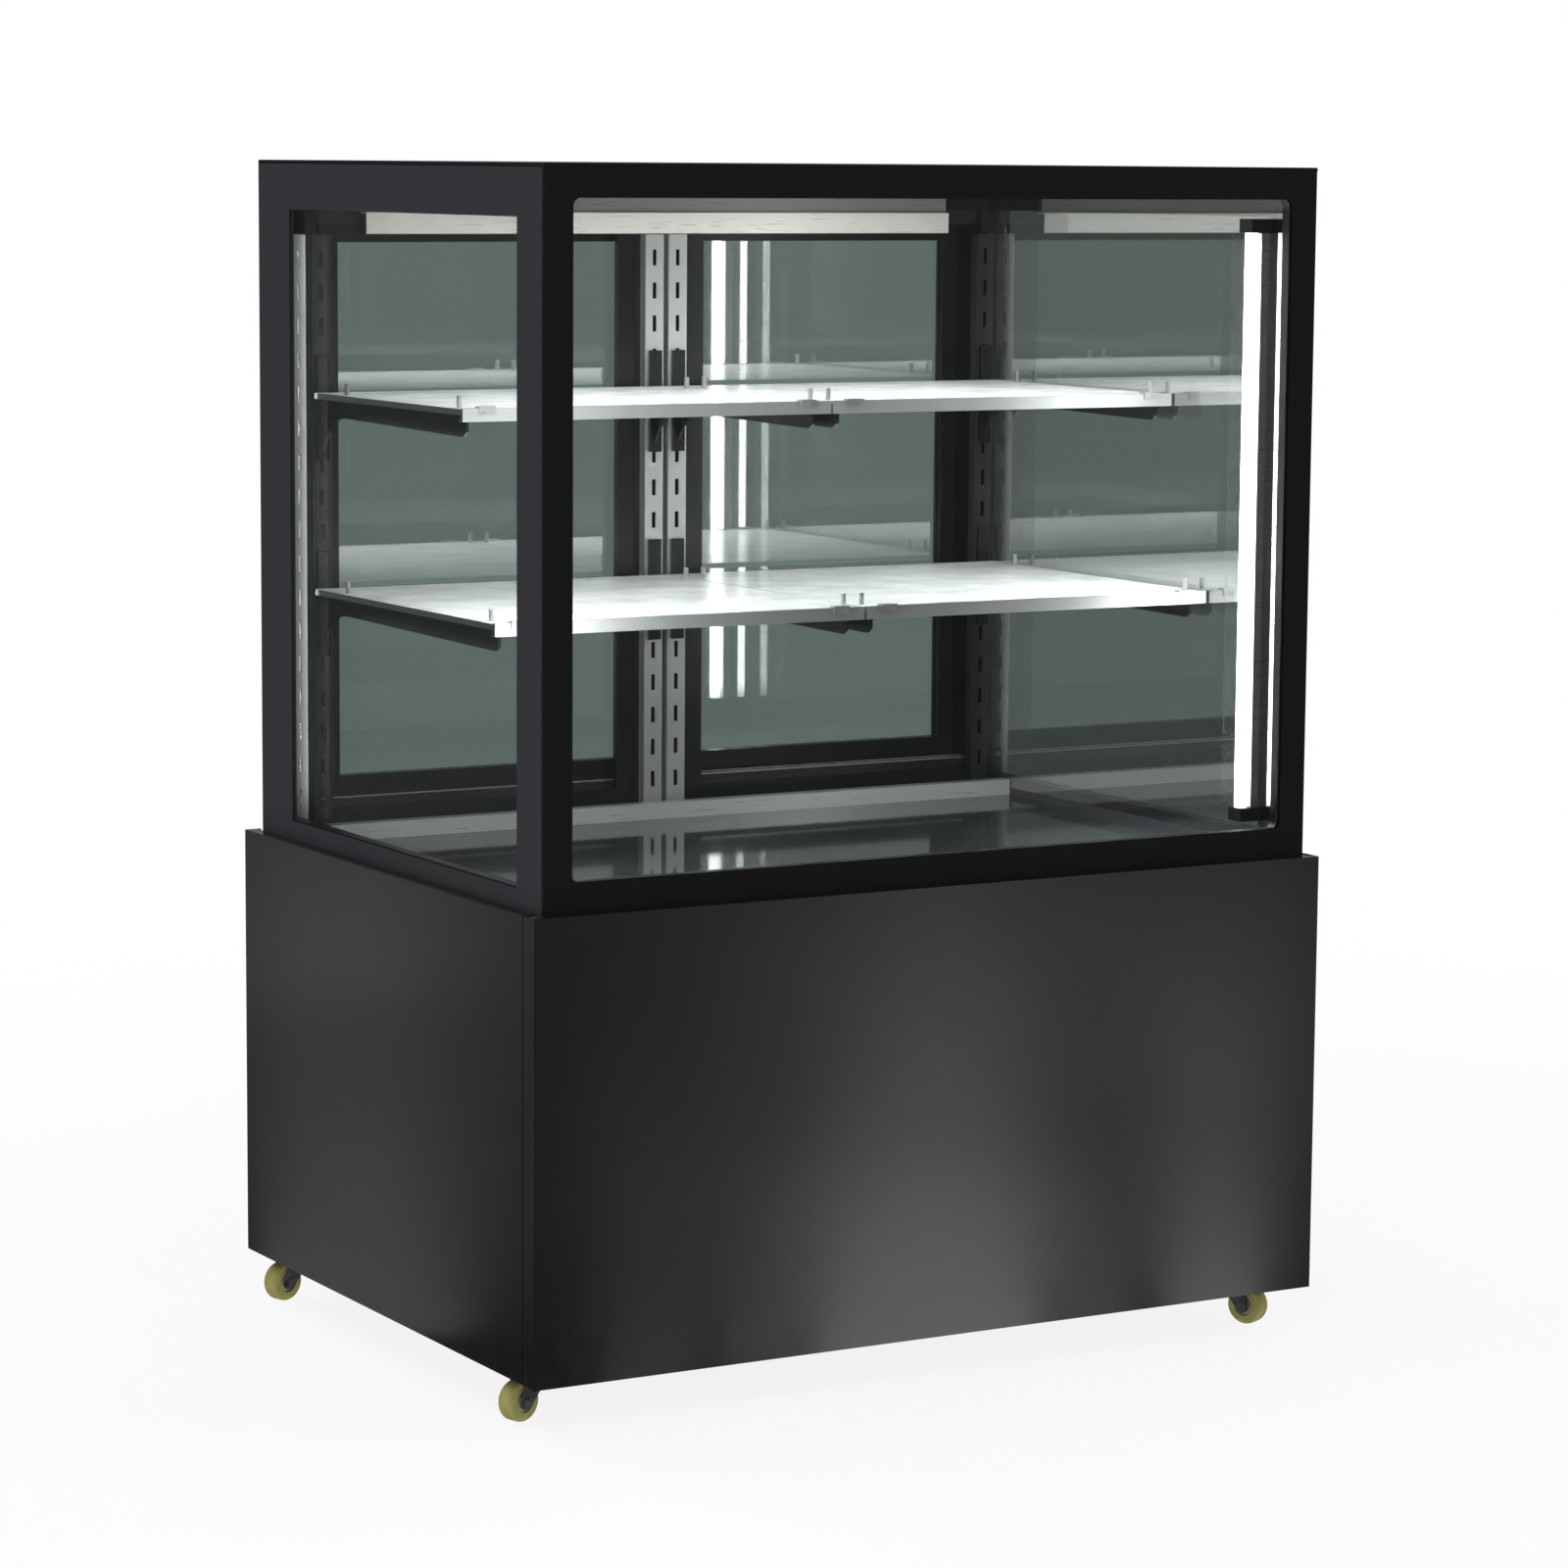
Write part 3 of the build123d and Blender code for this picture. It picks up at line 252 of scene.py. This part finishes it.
def steel_strips(name, shaded_fold=23 * MM):
    """Brushed stainless with painted shade: darker on the top strip's uppermost part, which folds back, and darker
    on the rail at the deck than on the strip. shaded_fold is the height of that part."""
    f = Finish(name)
    lines = f.noise(BRUSH_CELLS, GRAIN_ALONG_X, 2.0)
    low, high = (corner.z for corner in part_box("stainless_strips"))
    shade_line = high - shaded_fold
    height = f.axes()["Z"]
    steel = f.drift(5.0, rgb(0.68, 0.658, 0.62), rgb(0.77, 0.745, 0.705), 4.0)
    # Painted shade: the uppermost part of the top strip is darkened where it folds back.
    steel = f.mixed(f.smooth(height, shade_line - 1 * MM, shade_line + 1 * MM), steel, rgb(0.22, 0.222, 0.215))
    # Painted shade: the lower half, the rail at the deck, is a darker copy of the steel.
    steel = f.mixed(f.smooth(height, (low + high) / 2, low), steel, rgb(0.42, 0.43, 0.415))
    return f.surface(
        base_color=steel, metallic=0.7, roughness=f.spread(lines, 0.27, 0.33),
        normal=f.brush_bump(lines, 0.003),
    )


def dark_anodised(name, bottom, top):
    """Black anodised aluminium, left bare in a band of height. bottom and top are that band's soft ends,
    each from where the metal is black to where it is bare."""
    f = Finish(name)
    lines = f.noise(BRUSH_CELLS, GRAIN_ALONG_X, 2.0)
    height = f.axes()["Z"]
    bright = f.math("MULTIPLY", f.smooth(height, *bottom), f.smooth(height, *top))
    black = f.drift(9.0, rgb(0.004, 0.004, 0.004), rgb(0.009, 0.009, 0.009))
    return f.surface(
        base_color=f.mixed(bright, black, rgb(0.5, 0.5, 0.49)), metallic=f.math("MULTIPLY", bright, 0.9),
        roughness=f.spread(lines, 0.27, 0.35), normal=f.brush_bump(lines, 0.015),
    )


def galvanised(name, dark, light):
    """Hot-dip zinc on sheet: crystal spangle in tone and sheen, and a dull bloom in places."""
    f = Finish(name)
    spangle = f.node("ShaderNodeTexVoronoi", {"Vector": f.place, "Scale": 120.0})
    tone = f.axes(spangle.outputs["Color"])["X"]
    bloom = f.spread(f.noise(14.0, detail=5.0), 0.0, 0.5, 0.5, 0.75)
    colour = f.mixed(bloom, f.mixed(tone, dark, light), rgb(0.5, 0.51, 0.52))
    return f.surface(
        base_color=colour, metallic=0.9, roughness=f.spread(tone, 0.32, 0.5, 0.0, 1.0),
        normal=f.bump(f.noise(420.0), 0.05),
    )


def plastic(name, dark, light, roughness, grain=900.0, coat=0.0):
    """Moulded plastic with a fine spark-eroded grain and slight handling sheen."""
    f = Finish(name)
    sheen = f.spread(f.noise(18.0, detail=5.0), roughness - 0.07, roughness + 0.07)
    return f.surface(
        base_color=f.drift(30.0, dark, light), roughness=sheen, coat_weight=coat, coat_roughness=0.12,
        normal=f.bump(f.noise(grain, detail=2.0), 0.12, 0.1 * MM),
    )


def opal_shelf(name):
    """Toughened glass enamelled white: bright even face, glassy top, green-grey where the cut edge shows."""
    f = Finish(name)
    up = f.math("ABSOLUTE", f.axes(f.node("ShaderNodeNewGeometry").outputs["Normal"])["Z"])
    white = f.drift(7.0, rgb(0.7, 0.715, 0.705), rgb(0.74, 0.75, 0.74), 5.0)
    return f.surface(
        base_color=f.mixed(f.smooth(up, 0.9, 0.4), white, rgb(0.36, 0.45, 0.41)),
        roughness=f.spread(f.noise(22.0, detail=4.0), 0.12, 0.24), ior=1.5,
        normal=f.bump(f.noise(60.0, detail=1.0), 0.02),
    )


def lit_tube(name, low, high, end=20 * MM):
    """An opal light tube from low to high: white glow, dimmer and greyer over the last of its length, end."""
    f = Finish(name)
    height = f.axes()["Z"]
    ends = f.math("MULTIPLY", f.smooth(height, low, low + end), f.smooth(height, high, high - end))
    mottle = f.spread(f.noise(160.0), 0.97, 1.0)
    glow = f.mixed(f.math("MULTIPLY", ends, mottle), rgb(0.35, 0.36, 0.36), rgb(1.0, 1.0, 0.985))
    return f.surface(
        base_color=rgb(0.9, 0.9, 0.9), roughness=0.25, emission_color=glow, emission_strength=7.0,
        normal=f.bump(f.noise(300.0), 0.02),
    )


def wheel_finish(name, node, hub=11.5 * MM, tyre=14 * MM):
    """Olive urethane tyre around a paler nylon hub, told apart by the distance from the wheel's middle:
    hub is where the hub's colour ends, and tyre is where the tyre's is full."""
    f = Finish(name)
    low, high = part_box(node)
    centre = (low + high) / 2
    offset = f.node("ShaderNodeVectorMath", {0: f.place, 1: centre}, operation="SUBTRACT").outputs[0]
    radius = f.node("ShaderNodeVectorMath", {0: offset}, operation="LENGTH").outputs["Value"]
    scuffs = f.spread(f.noise(500.0, detail=5.0), 0.0, 0.6, 0.5, 0.75)
    urethane = f.drift(70.0, rgb(0.27, 0.26, 0.065), rgb(0.36, 0.34, 0.11))
    worn = f.mixed(scuffs, urethane, rgb(0.22, 0.2, 0.1))
    return f.surface(
        base_color=f.mixed(f.smooth(radius, hub, tyre), rgb(0.42, 0.41, 0.24), worn),
        roughness=f.spread(f.noise(90.0), 0.3, 0.5), subsurface_weight=0.08,
        normal=f.bump(f.noise(650.0), 0.15, 0.2 * MM),
    )


def finned(name, node, reach=14 * MM):
    """Aluminium fins, with copper bends where the tubes come out past them; reach is a bend's length."""
    f = Finish(name)
    low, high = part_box(node)
    across = f.axes()["X"]
    left = f.smooth(across, low.x + reach + 1 * MM, low.x + reach)
    right = f.smooth(across, high.x - reach - 1 * MM, high.x - reach)
    fins = f.drift(35.0, rgb(0.62, 0.63, 0.64), rgb(0.8, 0.81, 0.82), 6.0)
    copper = f.drift(120.0, rgb(0.55, 0.25, 0.14), rgb(0.8, 0.42, 0.27), 5.0)
    return f.surface(
        base_color=f.mixed(f.math("MAXIMUM", left, right), fins, copper), metallic=0.95,
        roughness=f.spread(f.noise(60.0), 0.28, 0.42),
        normal=f.bump(f.noise(900.0, (4, 1, 1)), 0.1, 0.1 * MM),
    )


def drawn_copper(name):
    """Copper line with tarnish drifting along it and dark braze marks."""
    f = Finish(name)
    tarnish = f.noise(45.0, detail=6.0)
    colour = f.mixed(f.spread(tarnish, 0.0, 1.0), rgb(0.78, 0.4, 0.26), rgb(0.5, 0.22, 0.13))
    braze = f.spread(f.noise(13.0), 0.0, 0.6, 0.66, 0.74)
    return f.surface(
        base_color=f.mixed(braze, colour, rgb(0.16, 0.1, 0.08)), metallic=1.0,
        roughness=f.spread(tarnish, 0.22, 0.42), normal=f.bump(f.noise(400.0), 0.06),
    )


def rubber(name):
    """Matt black rubber, slightly mottled."""
    f = Finish(name)
    colour = f.drift(200.0, rgb(0.012, 0.012, 0.012), rgb(0.03, 0.029, 0.028), 6.0)
    return f.surface(base_color=colour, roughness=0.72, normal=f.bump(f.noise(1200.0), 0.2, 0.1 * MM))


# ---- Glass cabinet: where its glass is clear, and where enamelled ----

glass_boxes = [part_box(f"{side}_glass") for side in ("front", "left", "right")]
glass_low, glass_high = (
    Vector([pick(box[end][axis] for box in glass_boxes) for axis in range(3)])
    for end, pick in ((0, min), (1, max))
)
PANE = 5 * MM
UPRIGHT_MARGIN, LEVEL_MARGIN = 14 * MM, 12 * MM
TINT = rgb(0.975, 0.985, 0.98)
DOOR_TINT = rgb(0.93, 0.975, 0.957)
# Refractive indices that give the mirror images the strength they have in the photo, not those of real glass.
FRONT_MIRROR, SIDE_MIRROR, DOOR_MIRROR = 1.75, 1.6, 4.6
# The share that the side glass mirrors inwards, so that the strip and the shelves run on in it.
HEAT_COAT = 0.58
# The share of the faint film on the glass, where it is thickest.
FILM, DOOR_FILM = 0.002, 0.003


def margin(axis, width):
    """The two margins of the glass body along an axis, as clear_glass takes them."""
    low, high = glass_low["XYZ".index(axis)], glass_high["XYZ".index(axis)]
    return (axis, low + width, low + width - 1 * MM), (axis, high - width, high - width + 1 * MM)


FRONT_WINDOW = Window(
    along="X", depth="Y", outermost=-glass_low.y - PANE - 1 * MM,
    middle=(0, 0.849), half=(0.406, 0.319), radius=8 * MM,
    inks=(rgb(0.0055, 0.0056, 0.0057), rgb(0.0085, 0.0085, 0.0087)),
)
# The side enamel is the same black as the front's; its lighter, purple-grey inks are a painted reflection.
SIDE_WINDOW = Window(
    along="Y", depth="X", outermost=glass_high.x - PANE - 1 * MM,
    middle=(-0.013, 0.835), half=(0.259, 0.315), radius=1 * MM,
    inks=(rgb(0.03, 0.0285, 0.033), rgb(0.04, 0.0375, 0.043)),
)
front_edges = margin("X", UPRIGHT_MARGIN) + margin("Z", LEVEL_MARGIN)
side_edges = margin("Y", UPRIGHT_MARGIN)[1:] + margin("Z", LEVEL_MARGIN)
front_pane = clear_glass("front_pane", TINT, FRONT_MIRROR, FILM, front_edges, FRONT_WINDOW)
side_pane = clear_glass("side_pane", TINT, SIDE_MIRROR, FILM, side_edges, SIDE_WINDOW, HEAT_COAT)
door_pane = clear_glass("door_pane", DOOR_TINT, DOOR_MIRROR, DOOR_FILM)


# ---- The other finishes, and the nodes that take each ----

tube_low, tube_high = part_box("led_tubes")
track_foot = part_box("door_tracks")[0].z
# The bright bare band on the rib of the door tracks: its two soft ends, up from the foot of the lower track.
RIB_BOTTOM, RIB_TOP = (9.5 * MM, 10 * MM), (12.5 * MM, 12 * MM)

panel_coat = satin_coat("panel_coat", rgb(0.0055, 0.0058, 0.006), rgb(0.0085, 0.009, 0.0092), 0.23, dust=0.05)
frame_coat = satin_coat("frame_coat", rgb(0.0026, 0.0027, 0.0028), rgb(0.0042, 0.0043, 0.0045), 0.24)
deck_coat = satin_coat("deck_coat", rgb(0.012, 0.0145, 0.014), rgb(0.018, 0.0215, 0.021), 0.06)
enamel = satin_coat("enamel", rgb(0.007, 0.007, 0.007), rgb(0.013, 0.013, 0.013), 0.24, peel=350.0)
edge_frit = frit("edge_frit", rgb(0.002, 0.002, 0.0022), rgb(0.0045, 0.0045, 0.005))
stainless = steel_strips("stainless")
slotted = slotted_finish("slotted")
aluminium = brushed("aluminium", rgb(0.4, 0.41, 0.4), rgb(0.5, 0.51, 0.5), 0.36, 0.85)
lamp_body = dark_anodised(
    "lamp_body", (tube_low.z, tube_low.z + 1 * MM), (tube_high.z, tube_high.z - 1 * MM)
)
track_metal = dark_anodised(
    "track_metal", [track_foot + up for up in RIB_BOTTOM], [track_foot + up for up in RIB_TOP]
)
zinc = galvanised("zinc", rgb(0.42, 0.42, 0.43), rgb(0.6, 0.6, 0.61))
sheet_zinc = galvanised("sheet_zinc", rgb(0.38, 0.39, 0.4), rgb(0.62, 0.63, 0.64))
dark_zinc = galvanised("dark_zinc", rgb(0.18, 0.185, 0.195), rgb(0.32, 0.325, 0.34))
black_plastic = plastic("black_plastic", rgb(0.009, 0.009, 0.009), rgb(0.016, 0.016, 0.016), 0.45)
gloss_rocker = plastic("gloss_rocker", rgb(0.008, 0.008, 0.008), rgb(0.012, 0.012, 0.012), 0.25, coat=0.4)
light_plastic = plastic("light_plastic", rgb(0.6, 0.61, 0.61), rgb(0.7, 0.71, 0.71), 0.4)
fan_plastic = plastic("fan_plastic", rgb(0.02, 0.021, 0.022), rgb(0.035, 0.036, 0.037), 0.38)
tub_skin = plastic("tub_skin", rgb(0.66, 0.67, 0.67), rgb(0.78, 0.79, 0.79), 0.38, grain=300.0)
shelf_glass = opal_shelf("shelf_glass")
tube_glow = lit_tube("tube_glow", tube_low.z, tube_high.z)
copper_line = drawn_copper("copper_line")
mount_rubber = rubber("mount_rubber")

FINISHES = {
    panel_coat: SATIN_PANELS + ("rear_louvre_panel",),
    deck_coat: ("deck_panel",),
    frame_coat: (
        "rear_frame", "left_door_frame", "right_door_frame", "shelf_brackets",
        "condenser_fan_motor", "evaporator_fan_motor",
    ),
    edge_frit: ("front_edge_frame", "left_edge_frame", "right_edge_frame", "top_panel"),
    front_pane: ("front_glass",),
    side_pane: ("left_glass", "right_glass"),
    door_pane: ("left_door_glass", "right_door_glass"),
    stainless: ("stainless_strips",),
    slotted: ("slotted_uprights",),
    aluminium: ("shelf_front_trims",),
    lamp_body: ("led_housings",),
    track_metal: ("door_tracks",),
    zinc: ("panel_screws", "caster_plates", "shelf_clips"),
    sheet_zinc: ("base_frame", "base_floor_pan", "condenser_fan_shroud"),
    dark_zinc: tuple(f"caster_fork_{corner}" for corner in CORNERS),
    black_plastic: (
        "thermostat_knob", "control_housings", "cable_gland", "left_door_pull", "right_door_pull",
    ),
    gloss_rocker: ("power_rocker", "light_rocker"),
    light_plastic: ("drain_tube",),
    fan_plastic: ("condenser_fan", "evaporator_fan"),
    tub_skin: ("insulated_tub",),
    enamel: ("compressor",),
    shelf_glass: ("upper_left_shelf", "upper_right_shelf", "lower_left_shelf", "lower_right_shelf"),
    tube_glow: ("led_tubes",),
    copper_line: ("refrigerant_pipes",),
    mount_rubber: ("compressor_mounts",),
}
for corner in CORNERS:
    wheel = f"caster_wheel_{corner}"
    FINISHES[wheel_finish(f"wheel_{corner}", wheel)] = (wheel,)
for coil in ("condenser_coil", "evaporator_coil"):
    FINISHES[finned(f"fins_{coil}", coil)] = (coil,)

dressed = set()
for finish, names in FINISHES.items():
    for name in names:
        nodes[name].data.materials.clear()
        nodes[name].data.materials.append(finish)
        dressed.add(name)
assert dressed == set(nodes), set(nodes) - dressed


# ---- Stage ----

SEEN_WHITE = rgb(1.0, 1.0, 1.0)
SEEN_THROUGH = rgb(0.235, 0.272, 0.262)
FLOOR_HALF = 3.2
FLOOR_DROP = 0.5 * MM
# From the case's middle, the floor fades to plain white between these distances.
FADE_START, FADE_END = 1.1, 2.8
# The share of the floor that is lit from within, which keeps the shadow on it faint.
FLOOR_GLOW = 0.87


def path_shares(f):
    """1 for the rays that look straight at the stage, look at it through glass, mirror it, and mirror it
    by way of glass, and 0 for the others. The stage takes a tone from each, so it isn't one real studio."""
    path = f.node("ShaderNodeLightPath").outputs
    looked, mirrored = path["Is Camera Ray"], path["Is Glossy Ray"]
    passed = f.math("GREATER_THAN", path["Transparent Depth"], 0.5)
    return looked, f.math("MULTIPLY", looked, passed), mirrored, f.math("MULTIPLY", mirrored, passed)


def stage_world():
    """A white studio that is dull where it is seen through glass, and dim in mirror images. There it is
    brighter overhead, at the right rear, a little on the left, and at the left rear if glass comes before."""
    world = bpy.data.worlds.new("stage_world")
    world.use_nodes = True
    bpy.context.scene.world = world
    f = Finish("stage_world", world.node_tree)
    looked, through, mirrored, within = path_shares(f)
    way = f.axes(f.node("ShaderNodeTexCoord").outputs["Generated"])
    left = f.smooth(way["X"], 0.5, -0.9)
    dim = f.mixed(left, rgb(0.045, 0.05, 0.05), rgb(0.06, 0.058, 0.064))
    rear_right = f.math("MULTIPLY", f.smooth(way["Y"], 0.2, 0.8), f.smooth(way["X"], -0.3, 0.3))
    dim = f.mixed(rear_right, dim, rgb(0.3, 0.3, 0.31))
    rear_left = f.math("MULTIPLY", f.smooth(way["Y"], 0.2, 0.8), f.smooth(way["X"], 0.0, -0.3))
    dim = f.mixed(f.math("MULTIPLY", rear_left, within), dim, rgb(0.19, 0.215, 0.21))
    above = f.math("MULTIPLY", f.smooth(way["Z"], -0.1, 0.6), 0.5)
    mirror = f.mixed(above, dim, rgb(0.4, 0.4, 0.42))
    soft = rgb(0.6, 0.61, 0.62)
    colour = f.mixed(mirrored, f.mixed(looked, soft, SEEN_WHITE), mirror)
    colour = f.mixed(through, colour, SEEN_THROUGH)
    f.finish(f.node("ShaderNodeBackground", {"Color": colour}).outputs[0], "ShaderNodeOutputWorld")


def stage_floor():
    """A wide pale floor that fades to white far off, and is dark in mirror images and dull through glass."""
    f = Finish("floor")
    looked, through, mirrored, _ = path_shares(f)
    away = f.node("ShaderNodeVectorMath", {0: f.place}, operation="LENGTH").outputs["Value"]
    far = f.math("MULTIPLY", f.smooth(away, FADE_START, FADE_END), looked)
    tone = f.drift(3.0, rgb(0.88, 0.88, 0.88), rgb(0.9, 0.9, 0.9), 5.0)
    lit = f.node("ShaderNodeBsdfDiffuse", {"Color": tone}).outputs[0]
    white = f.emission(SEEN_WHITE)
    left = f.smooth(f.axes()["X"], -0.5, -1.0)
    dark = f.emission(f.mixed(left, rgb(0.028, 0.028, 0.03), rgb(0.07, 0.07, 0.073)))
    shader = f.shader_mix(far, f.shader_mix(FLOOR_GLOW, lit, white), white)
    shader = f.shader_mix(mirrored, shader, dark)
    f.finish(f.shader_mix(through, shader, f.emission(SEEN_THROUGH)))
    mesh = bpy.data.meshes.new("floor")
    signs = ((-1, -1), (1, -1), (1, 1), (-1, 1))
    mesh.from_pydata([(x * FLOOR_HALF, y * FLOOR_HALF, 0) for x, y in signs], [], [(0, 1, 2, 3)])
    floor = bpy.data.objects.new("floor", mesh)
    floor.location.z = -FLOOR_DROP
    bpy.context.scene.collection.objects.link(floor)
    mesh.materials.append(f.material)


# ---- Lights ----

CASE_MIDDLE = (0, 0, 0.6)
# Each lamp's place, what it is aimed at, its size, and its watts. The canopy hangs under the top panel.
STUDIO_LIGHTS = {
    "key": ((-2.6, -3.4, 3.2), CASE_MIDDLE, (2.2, 1.6), 60),
    "fill": ((3.2, -2.6, 2.4), CASE_MIDDLE, (1.8, 1.8), 30),
    "canopy": ((0, -0.05, 1.165), (0, -0.05, 0), (0.76, 0.36), 5),
    "back": ((-1.5, 3.4, 2.6), CASE_MIDDLE, (2.0, 1.6), 45),
}
# What each tube throws into the case: how far in and back of the tube its lamp hangs, the spot it is
# aimed at, its width, and its watts.
TUBE_OFFSET, TUBE_AIM, TUBE_WIDTH, TUBE_WATTS = 12 * MM, 0.1, 20 * MM, 9
# A sliver of light down the side leg of each corner upright: its place and aim from the middle of the case
# (across and back), its size, and its watts.
EDGE_PLACE, EDGE_AIM, EDGE_SIZE, EDGE_WATTS = (0.4285, 0.232), (0.414, 0.275), (4 * MM, 0.6), 0.8
# Strips of glow on the floor that make the soft bands in the base panels. Each starts by a panel and lies
# where the line of sight of the photo's viewpoint goes after it has been mirrored there. After the start and
# the heading come the strip's layers: how far off it begins and ends, its width, and watts to the square metre.
GLOW_BANDS = {
    "band_left": ((-0.31, -0.36), (2.13, -3.92), ((0, 3.6, 0.1, 1.8),)),
    "band_middle": (
        (0.0, -0.36), (2.44, -3.92),
        ((0, 1, 0.42, 2.8), (0, 3.6, 0.22, 4.8), (1.4, 3.6, 0.2, 3.0)),
    ),
    "band_right": (
        (0.345, -0.36), (2.785, -3.92),
        ((0, 1, 0.2, 0.8), (0, 3.6, 0.1, 5.2), (1.2, 3.6, 0.09, 5.0)),
    ),
    "band_side": ((-0.47, 0.09), (-1.99, 4.35), ((0, 4.2, 0.22, 1.1), (2, 4.2, 0.22, 1.6))),
}
GLOW_HEIGHT = 5 * MM


def area_light(name, place, turn, size, energy):
    """A rectangular lamp that lights things but doesn't show, not even in gloss."""
    light = bpy.data.lights.new(name, "AREA")
    light.shape = "RECTANGLE"
    light.size, light.size_y = size
    light.energy = energy
    lamp = bpy.data.objects.new(name, light)
    lamp.location = place
    lamp.rotation_euler = turn
    lamp.visible_camera = False
    lamp.visible_glossy = False
    lamp.visible_transmission = False
    bpy.context.scene.collection.objects.link(lamp)
    return lamp


def aimed(place, target):
    """The rotation of a lamp at place that shines at target."""
    return (Vector(target) - Vector(place)).to_track_quat("-Z", "Y").to_euler()


def case_lights():
    """A lamp for what each light tube throws inwards, and a sliver of light on the upright behind it."""
    thickness = tube_high.y - tube_low.y
    middle = (tube_low + tube_high) / 2
    for hand, side in (("left", -1), ("right", 1)):
        tube = Vector((side * (tube_high.x - thickness / 2), middle.y, middle.z))
        place = tube + Vector((-side * TUBE_OFFSET, TUBE_OFFSET, 0))
        turn = aimed(place, (side * TUBE_AIM, TUBE_AIM, tube.z))
        area_light(f"tube_light_{hand}", place, turn, (TUBE_WIDTH, tube_high.z - tube_low.z), TUBE_WATTS)
        place = (side * EDGE_PLACE[0], EDGE_PLACE[1], tube.z)
        turn = aimed(place, (side * EDGE_AIM[0], EDGE_AIM[1], tube.z))
        area_light(f"edge_light_{hand}", place, turn, EDGE_SIZE, EDGE_WATTS)


def glow_bands():
    """The strips of glow on the floor. They reach only the satin panels, and only as highlights."""
    panels = bpy.data.collections.new("satin_panels")
    for name in SATIN_PANELS:
        panels.objects.link(nodes[name])
    for name, (start, heading, layers) in GLOW_BANDS.items():
        ahead = Vector((*heading, 0)).normalized()
        for layer, (near, far, width, glow) in enumerate(layers):
            middle = Vector((*start, GLOW_HEIGHT + layer * MM)) + ahead * (near + far) / 2
            turn = (math.pi, 0, math.atan2(ahead.x, -ahead.y))
            size = (width, far - near)
            lamp = area_light(f"{name}_{layer}", middle, turn, size, glow * size[0] * size[1])
            lamp.light_linking.receiver_collection = panels
            lamp.visible_diffuse = False
            lamp.visible_glossy = True


def camera():
    """The camera stands off the case's left front corner, about chest high, and looks a little down."""
    place = (-2.436, -4.2608, 1.206)
    yaw, pitch, roll = (math.radians(angle) for angle in (29.865, 7.48, -0.434))
    ahead = Vector((math.sin(yaw) * math.cos(pitch), math.cos(yaw) * math.cos(pitch), -math.sin(pitch)))
    level = Vector((math.cos(yaw), -math.sin(yaw), 0))
    down = ahead.cross(level)
    right = level * math.cos(roll) + down * math.sin(roll)
    up = level * math.sin(roll) - down * math.cos(roll)
    data = bpy.data.cameras.new("camera")
    data.lens = 109.52
    data.sensor_width = 36.0
    made = bpy.data.objects.new("camera", data)
    turn = Matrix((right, up, -ahead)).transposed()
    made.matrix_world = Matrix.Translation(place) @ turn.to_4x4()
    bpy.context.scene.collection.objects.link(made)
    bpy.context.scene.camera = made


stage_world()
stage_floor()
for name, (place, target, size, watts) in STUDIO_LIGHTS.items():
    area_light(name, place, aimed(place, target), size, watts)
case_lights()
glow_bands()
camera()

scene = bpy.context.scene
scene.view_settings.view_transform = "Standard"
scene.cycles.transparent_max_bounces = 32
scene.cycles.max_bounces = 10
scene.cycles.caustics_reflective = False
scene.cycles.caustics_refractive = False
